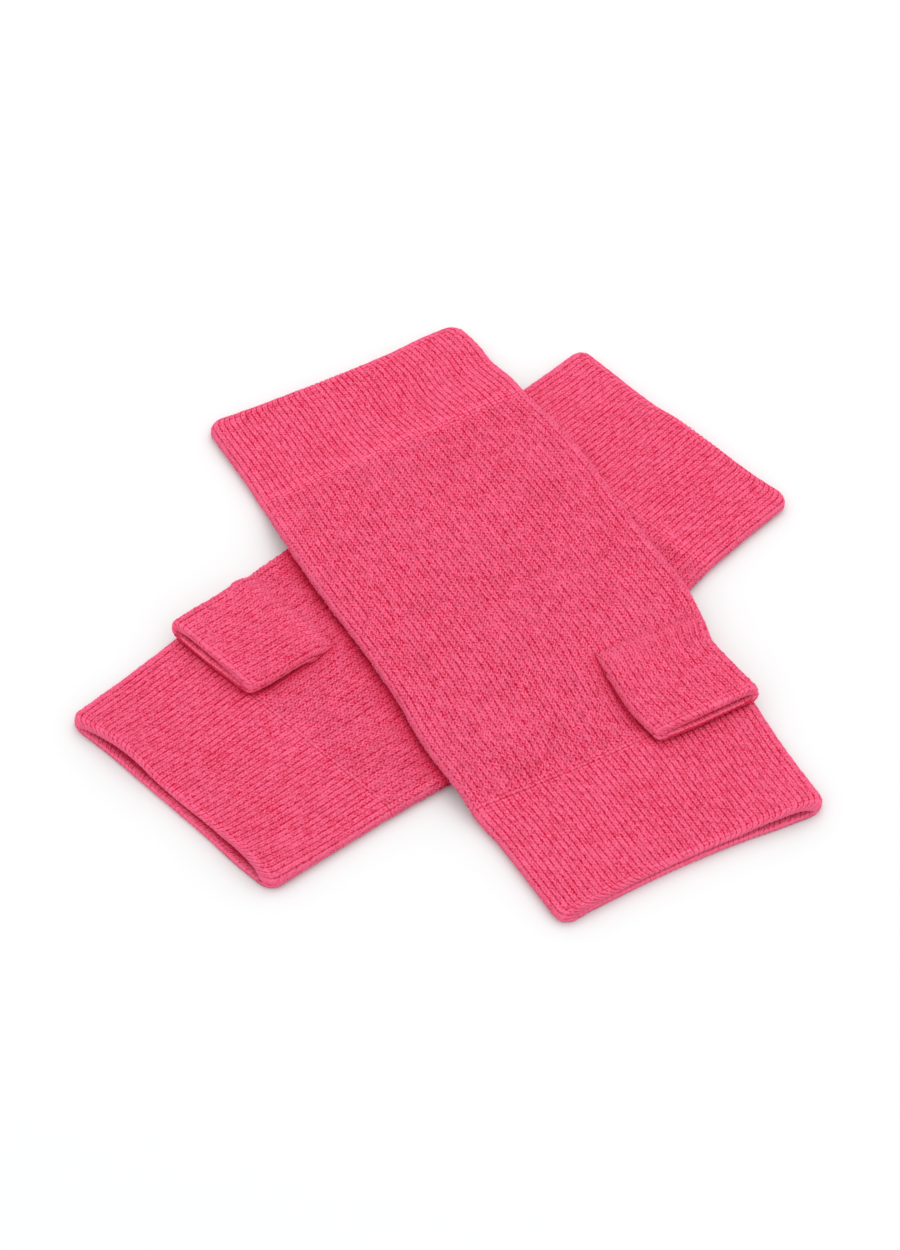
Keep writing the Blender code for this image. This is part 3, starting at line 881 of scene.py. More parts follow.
def thumb_face(warmer, knit, columns, flat, shear, run, inset):
    """Mean face of a thumb tube in its warmer's own coordinates, and the direction in which it faces.

    Its base follows the opening all round. The top layer comes out of the opening's wrist edge, the back
    layer out of its hand edge, and the tube lifts and rounds out on the way to its mouth.
    """
    mouth_edge = warmer.thumb[-1].along * MM
    base = flat[0]
    start_wale, from_top = opening_edge(columns)
    start_along = HOLE_HAND_EDGE + (base - HOLE_HAND_EDGE + shear) * from_top
    starts = cloth_face(warmer, knit, start_wale / WALES, start_along, np.zeros(shear.shape))
    start_across, _, start_height, start_out_across, start_out_up = starts
    back = HOLE_HAND_EDGE + (mouth_edge - HOLE_HAND_EDGE) * run / (base - mouth_edge)
    along = back + (flat[:, None] + shear - back) * from_top
    left, right = thumb_edges(warmer, along)
    radius = THUMB_THICKNESS / 2 - inset
    share = np.broadcast_to(columns / THUMB_WALES, shear.shape)
    across, rise, out_across, out_up = flattened_ring(share, left + inset, right - inset, radius)

    up, sideways = uneven_lie(warmer, knit, across, along)
    facing_up = np.clip(out_up, 0, 1)
    spread = eased(run / THUMB_SPREAD)
    across = start_across + (across + sideways - start_across) * spread
    tuck = BASE_TUCK * np.where(from_top < 1, 1.0, 0.0) + inset * (2 * from_top - 1)
    middle = REST_LEVEL + THUMB_THICKNESS / 2
    lift = 1 - read_table(THUMB_RISE, "drop", run) / (THUMB_RISE[0].drop * MM)
    height = start_height - tuck + (middle + rise + facing_up * up - start_height + tuck) * lift
    height = height + knit.puff * facing_up * spread * np.where(inset < THUMB_WALL / 2, 1, 0)
    out_across = start_out_across + (out_across - start_out_across) * spread
    out_up = start_out_up + (out_up - start_out_up) * spread
    return across, along, height, out_across, out_up


def thumb_nap_and_shade(share, roll, run, distance, out_up, first_loops):
    """How the nap stands on a thumb tube: up at its folds, base and mouth, where it is lighter, partly as a
    painted highlight, and down in its creases, where shade is painted beside the slit, underneath, inside the
    mouth and on its first loops.
    """
    folds = fold_share(share, THUMB_WALES, THUMB_FOLD_WALES) * eased(run / THUMB_FOLD_START)
    base = np.exp(-(((run - BASE_RAISED_AT) / BASE_RAISED_WIDTH) ** 2))
    raised = THUMB_FOLD_NAP_AND_HIGHLIGHT * folds + np.clip(1 - distance / NAP_AND_HIGHLIGHT_EDGE, 0, 1)
    raised = np.clip(raised + BASE_NAP_AND_HIGHLIGHT * base, 0, 1)
    slit_shade = eased(0.15 - out_up) * eased(run / CREASE_SHADE_START) * (share < 0.5)
    underneath = eased(-0.2 - out_up) * eased(run / THUMB_SPREAD)
    crease = np.maximum(slit_shade, underneath)
    crease = np.maximum(crease, lip_inside_shade(roll, share, distance))
    crease = np.clip(crease + first_loops, 0, 1)
    return raised * (1 - crease) - crease


def thumb_mesh(warmer, knit):
    """The thumb tube, from the edge of its opening in the body to its own rolled open end."""
    mouth_edge = warmer.thumb[-1].along * MM
    roll_radius = THUMB_WALL / 2
    body_outer, body_steps, _, base_row = body_rows(knit)
    base = body_outer[base_row]
    outer, steps = course_rows(base, mouth_edge + roll_radius, knit.course_height)
    turn = rim_turn()
    rim_along = mouth_edge + roll_radius * (1 - np.sin(turn))
    inside = rows_inside(mouth_edge + roll_radius, base, LIP_ROWS)[1:]
    flat, roll, course, spacing = wall_rows(outer, steps, rim_along, turn, inside, mouth_edge)
    course = (body_steps[base_row] - course)[:, None]
    columns = ring_columns(THUMB_WALES)
    wale = FIRST_WALE - 1 + columns
    share = np.broadcast_to(columns / THUMB_WALES, (len(flat), len(columns)))
    shear = np.zeros(share.shape)
    shear[: len(outer)] = slant(steps, wale_side(columns), spacing, STITCH_SLANT * spacing, 0)
    run = np.clip(base - flat, 0, None)[:, None]
    distance = np.abs(flat - mouth_edge)[:, None]
    swell, moved, lips = mouth_shape(warmer.thumb_mouth, share, distance)
    inset = wall_inset(roll, THUMB_WALL + lips * eased(run / LIP_START_RUN))
    across, along, height, out_across, out_up = thumb_face(warmer, knit, columns, flat, shear, run, inset)

    ribbed = THUMB_RIBBED * eased(run / THUMB_RIB_RUN)
    relief = knit_relief(knit, wale[None, :], course, ribbed, warmer.seed)
    relief = relief * rolled_share(roll) * lip_share(distance)
    beside_first = np.exp(-(((wale[None, :] - FIRST_WALE - 0.9) / FIRST_LOOP_WALES) ** 2))
    first_loops = beside_first * np.exp(-((run / FIRST_LOOP_RUN) ** 2))
    relief = relief - FIRST_LOOP_DEPTH * first_loops

    facing = np.cos(roll)
    across = across + relief * out_across * facing
    height = height + swell + relief * out_up * facing
    along = along - moved - np.sin(roll) * relief
    places = place(warmer, across, along, height)

    raised = thumb_nap_and_shade(share, roll, run, distance, out_up, first_loops)
    knit_map = knit_place(wale, course[:, 0], THUMB_WALES, -1)
    bake_map = bake_place(columns, THUMB_WALES, len(outer) + len(turn), len(inside))
    grid = Grid(places, knit_map, bake_map, raised)
    faces = tube_faces(*share.shape, warmer.hand > 0)
    return build_mesh(warmer.name + "_thumb", grid, *faces, (share.shape[0] - 1,))


def add_socket(group, name, direction, kind="NodeSocketFloat", default=None):
    """Adds one named input or output to a node group."""
    socket = group.interface.new_socket(name=name, in_out=direction, socket_type=kind)
    if default is not None:
        socket.default_value = default


class Nodes:
    """Short ways to add and join shader nodes in one tree."""

    def __init__(self, tree):
        self.tree = tree

    def add(self, kind, **settings):
        node = self.tree.nodes.new(kind)
        for name, value in settings.items():
            setattr(node, name, value)
        return node

    def join(self, source, target):
        """Links a socket to a socket, or sets a plain value on it."""
        if isinstance(source, bpy.types.NodeSocket):
            self.tree.links.new(source, target)
        else:
            target.default_value = source

    def math(self, operation, *values, clamp=False):
        node = self.add("ShaderNodeMath", operation=operation, use_clamp=clamp)
        for value, socket in zip(values, node.inputs):
            self.join(value, socket)
        return node.outputs[0]

    def ranged(self, value, low, high, to_low=0.0, to_high=1.0):
        """Eases from to_low to to_high as the value goes from low to high."""
        node = self.add("ShaderNodeMapRange", interpolation_type="SMOOTHSTEP")
        for source, socket in zip((value, low, high, to_low, to_high), node.inputs):
            self.join(source, socket)
        return node.outputs[0]

    def vector_math(self, operation, *values):
        node = self.add("ShaderNodeVectorMath", operation=operation)
        for value, socket in zip(values, node.inputs):
            self.join(value, socket)
        return node.outputs[0]

    def noise(self, place, scale, detail=2.0, roughness=0.5, distortion=0.0):
        node = self.add("ShaderNodeTexNoise")
        self.join(place, node.inputs["Vector"])
        self.join(scale, node.inputs["Scale"])
        self.join(detail, node.inputs["Detail"])
        self.join(roughness, node.inputs["Roughness"])
        self.join(distortion, node.inputs["Distortion"])
        return node

    def mixed(self, factor, first, second):
        node = self.add("ShaderNodeMix", data_type="RGBA", blend_type="MIX")
        self.join(factor, node.inputs["Factor"])
        self.join(first, node.inputs["A"])
        self.join(second, node.inputs["B"])
        return node.outputs["Result"]


def stitch_group():
    """Furrows, legs, loops, uneven stitches and yarn ply of a knit, from its wale and course coordinates."""
    group = bpy.data.node_groups.new("Knit stitch", "ShaderNodeTree")
    add_socket(group, "Knit place", "INPUT", "NodeSocketVector")
    add_socket(group, "Fibre place", "INPUT", "NodeSocketVector")
    add_socket(group, "Wobble", "INPUT", default=0.1)
    add_socket(group, "Evenness", "INPUT", default=0.0)
    for name in ("Furrow", "Legs", "Loop", "Tone", "Ply"):
        add_socket(group, name, "OUTPUT")
    nodes = Nodes(group)
    given = nodes.add("NodeGroupInput")
    wobble = nodes.noise(given.outputs["Fibre place"], YARN_WOBBLE, 3.0).outputs["Color"]
    centred = nodes.vector_math("SUBTRACT", wobble, (0.5, 0.5, 0.5))
    amount = nodes.add("ShaderNodeCombineXYZ")
    nodes.join(given.outputs["Wobble"], amount.inputs["X"])
    nodes.join(given.outputs["Wobble"], amount.inputs["Y"])
    even_place = given.outputs["Knit place"]
    wandering_place = nodes.vector_math("MULTIPLY_ADD", centred, amount.outputs[0], even_place)
    split = nodes.add("ShaderNodeSeparateXYZ")
    nodes.join(wandering_place, split.inputs[0])
    wale, course = split.outputs[0], split.outputs[1]
    across = nodes.math("SUBTRACT", nodes.math("MULTIPLY", nodes.math("FRACT", wale), 2.0), 1.0)
    side = nodes.math("ABSOLUTE", across)
    legs = nodes.math("SINE", nodes.math("MULTIPLY", side, math.pi))
    loop = nodes.math("SINE", nodes.math("MULTIPLY", nodes.math("FRACT", course), math.pi))

    # Each furrow closes up here and there along its own length
    furrow_run = nodes.add("ShaderNodeCombineXYZ")
    nodes.join(nodes.math("MULTIPLY", nodes.math("ROUND", wale), 7.3), furrow_run.inputs["X"])
    nodes.join(nodes.math("MULTIPLY", course, 0.6), furrow_run.inputs["Y"])
    closed_up = nodes.noise(furrow_run.outputs[0], 1.0, 1.0).outputs["Fac"]
    broken = nodes.ranged(closed_up, 0.36, 0.62, 0.15, 1.3)
    uneven = nodes.math("SUBTRACT", 1.0, given.outputs["Evenness"])
    even = nodes.math("MULTIPLY", given.outputs["Evenness"], 0.85)
    broken = nodes.math("ADD", nodes.math("MULTIPLY", broken, uneven), even)
    furrow = nodes.math("MULTIPLY", nodes.ranged(side, 0.6, 1.0), broken)

    # Each leg of a stitch has its own tone, and its yarn is twisted
    leg = nodes.add("ShaderNodeCombineXYZ")
    nodes.join(nodes.math("FLOOR", nodes.math("MULTIPLY", wale, 2.0)), leg.inputs["X"])
    nodes.join(nodes.math("FLOOR", course), leg.inputs["Y"])
    tone = nodes.add("ShaderNodeTexWhiteNoise", noise_dimensions="2D")
    nodes.join(leg.outputs[0], tone.inputs["Vector"])
    ply_run = nodes.math("ADD", nodes.math("MULTIPLY", side, 2.4), nodes.math("MULTIPLY", course, 2.0))
    ply = nodes.math("SINE", nodes.math("MULTIPLY", ply_run, 2 * math.pi))
    result = nodes.add("NodeGroupOutput")
    nodes.join(furrow, result.inputs["Furrow"])
    nodes.join(legs, result.inputs["Legs"])
    nodes.join(loop, result.inputs["Loop"])
    nodes.join(tone.outputs["Value"], result.inputs["Tone"])
    nodes.join(ply, result.inputs["Ply"])
    return group


def wool_group():
    """Uneven dye, heathered fibres and loose fluff of a soft wool, over a piece's own coordinates."""
    group = bpy.data.node_groups.new("Wool", "ShaderNodeTree")
    add_socket(group, "Fibre place", "INPUT", "NodeSocketVector")
    for name in ("Dye", "Heather", "Fluff"):
        add_socket(group, name, "OUTPUT")
    nodes = Nodes(group)
    given = nodes.add("NodeGroupInput").outputs["Fibre place"]
    result = nodes.add("NodeGroupOutput")
    clouds = nodes.noise(given, DYE_CLOUDS, 3.0, 0.6).outputs["Fac"]
    patches = nodes.noise(given, DYE_PATCHES, 2.0, 0.6).outputs["Fac"]
    dye = nodes.math("ADD", nodes.math("MULTIPLY", clouds, 0.55), nodes.math("MULTIPLY", patches, 0.45))
    nodes.join(nodes.ranged(dye, 0.36, 0.64), result.inputs["Dye"])
    heather = nodes.noise(given, HEATHER_FIBRES, 3.0, 0.75, 0.6).outputs["Fac"]
    nodes.join(nodes.ranged(heather, 0.32, 0.68), result.inputs["Heather"])
    fluff = nodes.noise(given, FLUFF_FIBRES, 3.0, 0.7, 1.5).outputs["Fac"]
    nodes.join(fluff, result.inputs["Fluff"])
    return group


def shared_group(name, make):
    """The node group of this name, made when it is first asked for."""
    return bpy.data.node_groups.get(name) or make()


def wool_shader(name, look, furrow_shade, loop_shade, evenness):
    """One wool finish: the yarn's colour, deeper in the furrows and between loops and legs as painted shade
    and light on the crests, with heather, dye and fluff, a lighter raised nap that is partly a painted
    highlight, and painted shade in the creases.
    """
    material = bpy.data.materials.new(name)
    material.use_nodes = True
    nodes = Nodes(material.node_tree)
    shader = material.node_tree.nodes["Principled BSDF"]
    knit_place = nodes.add("ShaderNodeUVMap", uv_map="Knit").outputs["UV"]
    fibre_place = nodes.add("ShaderNodeTexCoord").outputs["Object"]
    stitch = nodes.add("ShaderNodeGroup", node_tree=shared_group("Knit stitch", stitch_group))
    wool = nodes.add("ShaderNodeGroup", node_tree=shared_group("Wool", wool_group))
    nodes.join(knit_place, stitch.inputs["Knit place"])
    nodes.join(fibre_place, stitch.inputs["Fibre place"])
    nodes.join(look.wobble, stitch.inputs["Wobble"])
    nodes.join(evenness, stitch.inputs["Evenness"])
    nodes.join(fibre_place, wool.inputs["Fibre place"])
    raised = nodes.add("ShaderNodeAttribute", attribute_name="nap_highlight_and_crease_shade").outputs["Fac"]

    # Each part deepens the colour by its value less its mean, times its strength. Furrows, legs and loops
    # deepen it as painted shade between the stitches; tone, heather and dye are the yarn's own; raised nap
    # lightens it, partly as a painted highlight.
    parts = (
        (stitch.outputs["Furrow"], 0.2, furrow_shade),
        (stitch.outputs["Legs"], 0.64, -look.leg_shade),
        (stitch.outputs["Loop"], 0.64, -loop_shade),
        (stitch.outputs["Tone"], 0.5, look.stitch_tone),
        (wool.outputs["Heather"], 0.5, -look.heather),
        (wool.outputs["Dye"], 0.5, -look.mottle),
        (nodes.math("MAXIMUM", raised, 0.0), 0.0, -look.nap_highlight_strength),
    )
    depth = look.depth
    for value, mean, strength in parts:
        change = nodes.math("MULTIPLY", nodes.math("SUBTRACT", value, mean), strength)
        depth = nodes.math("ADD", depth, change)
    depth = nodes.math("MAXIMUM", depth, 0.0, clamp=True)
    colour = nodes.mixed(depth, (*look.light_yarn, 1.0), (*look.deep_yarn_and_shade, 1.0))
    # Painted shade: creases take the deep crease colour where raised goes below 0
    crease_shade = nodes.math("MULTIPLY", raised, -look.crease_shade_strength, clamp=True)
    colour = nodes.mixed(crease_shade, colour, (*look.crease_shade_colour, 1.0))
    nodes.join(colour, shader.inputs["Base Color"])
    rough = nodes.ranged(wool.outputs["Fluff"], 0.3, 0.7, 0.82, 1.0)
    nodes.join(rough, shader.inputs["Roughness"])

    height = nodes.math("MULTIPLY", stitch.outputs["Ply"], 0.12)
    height = nodes.math("ADD", height, nodes.math("MULTIPLY", wool.outputs["Fluff"], 1.1))
    height = nodes.math("ADD", height, nodes.math("MULTIPLY", wool.outputs["Heather"], 0.6))
    bump = nodes.add("ShaderNodeBump")
    bump.inputs["Strength"].default_value = 0.8
    bump.inputs["Distance"].default_value = FLUFF_HEIGHT
    nodes.join(height, bump.inputs["Height"])
    nodes.join(bump.outputs["Normal"], shader.inputs["Normal"])
    shader.inputs["Specular IOR Level"].default_value = 0.06
    shader.inputs["Sheen Weight"].default_value = look.sheen
    shader.inputs["Sheen Roughness"].default_value = 0.4
    shader.inputs["Sheen Tint"].default_value = (*look.sheen_tint, 1.0)
    return material


def nap_shader(look):
    """Loose fibres: the light yarn colour, mixed in places towards the nap's sheen tint as a painted sheen, so
    a little different from fibre to fibre.
    """
    material = bpy.data.materials.new("loose_fibre")
    material.use_nodes = True
    nodes = Nodes(material.node_tree)
    shader = material.node_tree.nodes["Principled BSDF"]
    fibre_place = nodes.add("ShaderNodeTexCoord").outputs["Object"]
    wool = nodes.add("ShaderNodeGroup", node_tree=shared_group("Wool", wool_group))
    nodes.join(fibre_place, wool.inputs["Fibre place"])
    # Painted sheen: part of the fibres' colour goes towards the sheen tint, more where the dye noise is high
    mix = nodes.math("MULTIPLY", wool.outputs["Dye"], 0.6)
    colour = nodes.mixed(mix, (*look.light_yarn, 1.0), (*look.sheen_tint, 1.0))
    nodes.join(colour, shader.inputs["Base Color"])
    shader.inputs["Roughness"].default_value = 0.8
    shader.inputs["Specular IOR Level"].default_value = 0.1
    return material


def random_on_mesh(mesh, count, random):
    """Places and normals at random over a mesh's faces, leaving out those that look down.

    More of them stand where the nap is raised, and fewer in its creases.
    """
    mesh.calc_loop_triangles()
    corners = np.empty(len(mesh.loop_triangles) * 3, np.int32)
    mesh.loop_triangles.foreach_get("vertices", corners)
    points = np.empty(len(mesh.vertices) * 3, np.float32)
    mesh.vertices.foreach_get("co", points)
    raised = np.empty(len(mesh.vertices), np.float32)
    mesh.attributes["nap_highlight_and_crease_shade"].data.foreach_get("value", raised)
    corners = corners.reshape(-1, 3)
    places = points.reshape(-1, 3).astype(float)[corners]
    normal = np.cross(places[:, 1] - places[:, 0], places[:, 2] - places[:, 0])
    area = np.linalg.norm(normal, axis=1) / 2
    normal /= np.maximum(2 * area, 1e-15)[:, None]
    raised = raised[corners].mean(1)
    weight = area * np.where(normal[:, 2] > NAP_LOWEST_FACING, 1.0, 0.0)
    weight = weight * (NAP_OPEN + NAP_RAISED * np.clip(raised, 0, 1))
    weight = weight * (1 + NAP_CREASED * np.clip(raised, -1, 0))
    chosen = random.choice(len(area), count, p=weight / weight.sum())
    a, b = random.random((2, count))
    flip = a + b > 1
    a, b = np.where(flip, 1 - a, a), np.where(flip, 1 - b, b)
    first, second, third = places[chosen].swapaxes(0, 1)
    spot = first + (second - first) * a[:, None] + (third - first) * b[:, None]
    return spot, normal[chosen]


def fibre_points(roots, normals, look, random):
    """Corners of each fibre: pairs along a ribbon that leans over and curls, and its tip last."""
    count, segments = len(roots), FIBRE_SEGMENTS
    lean = random.normal(size=(count, 3))
    lean -= normals * (lean * normals).sum(1)[:, None]
    lean /= np.linalg.norm(lean, axis=1)[:, None]
    length = look.nap_length * random.uniform(*FIBRE_LENGTHS, count)[:, None]
    width = look.nap_width * random.uniform(*FIBRE_WIDTHS, count)[:, None] / 2
    curl = random.uniform(*FIBRE_CURLS, count)[:, None]
    across = np.cross(normals, lean)
    rows = []
    for i in range(segments):
        t = i / segments
        up = normals * (t - FIBRE_BEND * t * t * curl)
        sideways = lean * (FIBRE_LEAN * t + FIBRE_CURL * curl * t * t)
        centre = roots + length * (up + sideways)
        taper = width * (1 - FIBRE_TAPER * t)
        rows.append(centre - across * taper)
        rows.append(centre + across * taper)
    tip = normals * (1 - FIBRE_BEND * curl) + lean * (FIBRE_LEAN + FIBRE_CURL * curl)
    rows.append(roots + length * tip)
    points = np.stack(rows, 1)
    points[:, :, 2] = np.maximum(points[:, :, 2], FIBRE_CLEARANCE)
    return points


def fibre_mesh(name, roots, normals, look, random):
    """Curved fibres as narrow ribbons that end in a point."""
    points = fibre_points(roots, normals, look, random)
    count, per_fibre = points.shape[:2]
    segments = FIBRE_SEGMENTS
    start = np.arange(count)[:, None] * per_fibre
    ribbons = [start + np.array([2 * i, 2 * i + 1, 2 * i + 3, 2 * i + 2]) for i in range(segments - 1)]
    quads = np.concatenate(ribbons)
    tips = start + np.array([2 * segments - 2, 2 * segments - 1, 2 * segments])
    mesh = bpy.data.meshes.new(name)
    mesh.vertices.add(count * per_fibre)
    mesh.vertices.foreach_set("co", points.reshape(-1).astype(np.float32))
    loops = np.concatenate([quads.reshape(-1), tips.reshape(-1)]).astype(np.int32)
    starts = np.concatenate([np.arange(len(quads)) * 4, quads.size + np.arange(count) * 3]).astype(np.int32)
    mesh.loops.add(len(loops))
    mesh.loops.foreach_set("vertex_index", loops)
    mesh.polygons.add(len(starts))
    mesh.polygons.foreach_set("loop_start", starts)
    mesh.update(calc_edges=True)

    # Each fibre has its own square cell of the bake map
    side = math.ceil(math.sqrt(count))
    cell = np.stack([np.arange(count) % side, np.arange(count) // side], 1) / side
    pairs = [[0.1 + 0.8 * (k % 2), 0.1 + 0.8 * (k // 2) / segments] for k in range(2 * segments)]
    local = np.array(pairs + [[0.5, 0.9]])
    places = cell[loops // per_fibre] + local[loops % per_fibre] / side
    layer = mesh.uv_layers.new(name="OFBake")
    layer.uv.foreach_set("vector", places.reshape(-1).astype(np.float32))
    mesh.shade_smooth()
    return mesh


class WristWarmerKnit(bpy.types.PropertyGroup):
    """Stitch sizes of the knitted cloth."""

    course_height: bpy.props.FloatProperty(
        name="Course Height",
        description="Height of one row of stitches",
        default=1.44 * MM,
        unit="LENGTH",
        precision=5,
    )
    rib_course_height: bpy.props.FloatProperty(
        name="Rib Course Height",
        description="Height of one row of stitches in the ribs",
        default=1.2 * MM,
        unit="LENGTH",
        precision=5,
    )
    body_furrow: bpy.props.FloatProperty(
        name="Body Furrow",
        description="Depth between wales of the plain body",
        default=0.36 * MM,
        unit="LENGTH",
        precision=5,
    )
    rib_furrow: bpy.props.FloatProperty(
        name="Rib Furrow", description="Depth between the ribs", default=0.52 * MM, unit="LENGTH", precision=5
    )
    body_stitch: bpy.props.FloatProperty(
        name="Body Stitch",
        description="Relief of a stitch in the plain body",
        default=0.36 * MM,
        unit="LENGTH",
        precision=5,
    )
    rib_stitch: bpy.props.FloatProperty(
        name="Rib Stitch",
        description="Relief of a stitch in the ribs",
        default=0.22 * MM,
        unit="LENGTH",
        precision=5,
    )
    unevenness: bpy.props.FloatProperty(
        name="Unevenness",
        description="How much one stitch differs from the next",
        default=0.9,
        min=0.0,
        max=2.0,
    )
    lie: bpy.props.FloatProperty(
        name="Uneven Lie",
        description="How far the cloth wanders from flat",
        default=0.22 * MM,
        unit="LENGTH",
        precision=5,
    )
    puff: bpy.props.FloatProperty(
        name="Thumb Puff",
        description="How far the thumb tubes swell",
        default=0.3 * MM,
        unit="LENGTH",
        precision=5,
    )


class WristWarmerWool(bpy.types.PropertyGroup):
    """Colours and fibres of the wool, with its painted shade and highlight."""

    light_yarn: bpy.props.FloatVectorProperty(
        name="Light Yarn",
        description="Colour on the crests of the knit",
        default=(0.93, 0.145, 0.275),
        subtype="COLOR",
    )
    # The deep colour is the yarn's darker tone, and also painted shade in the furrows, loops and between legs
    deep_yarn_and_shade: bpy.props.FloatVectorProperty(
        name="Deep Yarn",
        description="Colour in the furrows of the knit",
        default=(0.67, 0.007, 0.052),
        subtype="COLOR",
    )
    # Used by the shader's sheen, and as a painted sheen colour on the loose fibres
    sheen_tint: bpy.props.FloatVectorProperty(
        name="Nap Tint",
        description="Colour of light that catches the nap",
        default=(1.0, 0.30, 0.44),
        subtype="COLOR",
    )
    sheen: bpy.props.FloatProperty(name="Nap Sheen", description="How strongly the nap shines", default=0.10)
    depth: bpy.props.FloatProperty(
        name="Colour Depth", description="Share of the deep yarn colour", default=0.45
    )
    wobble: bpy.props.FloatProperty(name="Wobble", description="How far the furrow lines wander", default=0.5)
    heather: bpy.props.FloatProperty(name="Heather", description="Contrast from fibre to fibre", default=0.95)
    stitch_tone: bpy.props.FloatProperty(
        name="Stitch Tone", description="Contrast between stitches", default=0.45
    )
    mottle: bpy.props.FloatProperty(name="Mottle", description="Contrast of the uneven dye", default=0.16)
    # Lightens raised nap at folds, seams and open ends, partly as a painted highlight
    nap_highlight_strength: bpy.props.FloatProperty(
        name="Raised Nap", description="How light raised nap is", default=0.43
    )
    # Painted shade: the colour put deep in creases
    crease_shade_colour: bpy.props.FloatVectorProperty(
        name="Crease Shade",
        description="Colour deep in creases",
        default=(0.68, 0.004, 0.045),
        subtype="COLOR",
    )
    # How strongly the painted crease shade shows
    crease_shade_strength: bpy.props.FloatProperty(
        name="Creases", description="How deep the creases' colour is", default=0.85
    )
    # Painted shade between the ribs and wales, and between the courses and legs
    rib_shade: bpy.props.FloatProperty(
        name="Rib Shade", description="Depth of colour between ribs", default=0.65
    )
    body_shade: bpy.props.FloatProperty(
        name="Body Shade", description="Depth of colour between wales", default=0.60
    )
    rib_evenness: bpy.props.FloatProperty(
        name="Rib Evenness", description="How unbroken the ribs' furrows are", default=0.6
    )
    rib_loop_shade: bpy.props.FloatProperty(
        name="Rib Loops", description="Shade between the ribs' courses", default=0.45
    )
    body_loop_shade: bpy.props.FloatProperty(
        name="Body Loops", description="Shade between the body's courses", default=0.80
    )
    leg_shade: bpy.props.FloatProperty(
        name="Leg Shade", description="Shade between a stitch's legs", default=0.40
    )
    nap_length: bpy.props.FloatProperty(
        name="Fibre Length",
        description="Length of the loose fibres",
        default=0.9 * MM,
        unit="LENGTH",
        precision=5,
    )
    nap_width: bpy.props.FloatProperty(
        name="Fibre Width",
        description="Width of the loose fibres",
        default=0.035 * MM,
        unit="LENGTH",
        precision=6,
    )
    nap_fibres: bpy.props.IntProperty(name="Fibres", description="Loose fibres on each warmer", default=26000)


class WristWarmerStage(bpy.types.PropertyGroup):
    """Floor and lights."""

    floor_colour: bpy.props.FloatVectorProperty(
        name="Floor", description="Colour of the floor", default=(0.700, 0.708, 0.708), subtype="COLOR"
    )
    sky: bpy.props.FloatProperty(name="Sky", description="Strength of the even light", default=1.30)
    key: bpy.props.FloatProperty(
        name="Key", description="Power of the main soft light", default=2.6, unit="POWER"
    )


class WRISTWARMERS_OT_bodies(bpy.types.Operator):
    """Knit the plain bodies with their thumb openings"""

    bl_idname = "wrist_warmers.bodies"
    bl_label = "Bodies"

    def execute(self, context):
        scene = context.scene
        look = scene.wrist_warmer_wool
        wool = wool_shader("plain_wool", look, look.body_shade, look.body_loop_shade, 0.0)
        for warmer in PAIR:
            mesh = body_mesh(warmer, scene.wrist_warmer_knit)
            piece = add_piece(warmer.name + "_body_cloth", mesh, wool)
            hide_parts(warmer.name + "_body")
        return {"FINISHED"}


class WRISTWARMERS_OT_ribs(bpy.types.Operator):
    """Knit the ribs at the wrist and hand ends"""

    bl_idname = "wrist_warmers.ribs"
    bl_label = "Ribs"

    def execute(self, context):
        scene = context.scene
        look = scene.wrist_warmer_wool
        wool = wool_shader("rib_wool", look, look.rib_shade, look.rib_loop_shade, look.rib_evenness)
        knit = scene.wrist_warmer_knit
        rib_height = knit.rib_course_height
        courses = body_rows(knit)[1][-1]
        for warmer in PAIR:
            wrist = Band("wrist_rib", WRIST_SEAM, LENGTH / 2, courses, rib_height, WRIST_MOUTH)
            hand = Band("hand_rib", HAND_SEAM, -LENGTH / 2, 0, rib_height, warmer.hand_mouth)
            for band, girth in ((wrist, WRIST_RIB_GIRTH), (hand, HAND_RIB_GIRTH)):
                mesh = rib_mesh(warmer, knit, band)
                piece = add_piece(f"{warmer.name}_{band.name}_cloth", mesh, wool)
                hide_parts(f"{warmer.name}_{band.name}")
        return {"FINISHED"}


class WRISTWARMERS_OT_thumbs(bpy.types.Operator):
    """Knit the thumb tubes"""

    bl_idname = "wrist_warmers.thumbs"
    bl_label = "Thumbs"

    def execute(self, context):
        scene = context.scene
        look = scene.wrist_warmer_wool
        thumb_shade = (look.body_shade + look.rib_shade) / 2
        thumb_loops = (look.body_loop_shade + look.rib_loop_shade) / 2
        wool = wool_shader("thumb_wool", look, thumb_shade, thumb_loops, 0.0)
        for warmer in PAIR:
            mesh = thumb_mesh(warmer, scene.wrist_warmer_knit)
            piece = add_piece(warmer.name + "_thumb_cloth", mesh, wool)
            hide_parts(warmer.name + "_thumb")
        return {"FINISHED"}


class WRISTWARMERS_OT_nap(bpy.types.Operator):
    """Stand short loose fibres on the cloth"""

    bl_idname = "wrist_warmers.nap"
    bl_label = "Nap"

    def execute(self, context):
        look = context.scene.wrist_warmer_wool
        wool = nap_shader(look)
        for warmer in PAIR:
            random = np.random.default_rng(warmer.seed + 90)
            roots, normals = [], []
            for name, share in NAP_SHARES.items():
                cloth = bpy.data.objects.get(f"{warmer.name}_{name}_cloth")
                if cloth is None:
                    raise RuntimeError("The nap stands on the cloth, so the cloth comes first")
                spot, normal = random_on_mesh(cloth.data, round(look.nap_fibres * share), random)
                roots.append(spot)
                normals.append(normal)
            name = warmer.name + "_nap"
            mesh = fibre_mesh(name, np.concatenate(roots), np.concatenate(normals), look, random)
            add_piece(name, mesh, wool)
        return {"FINISHED"}


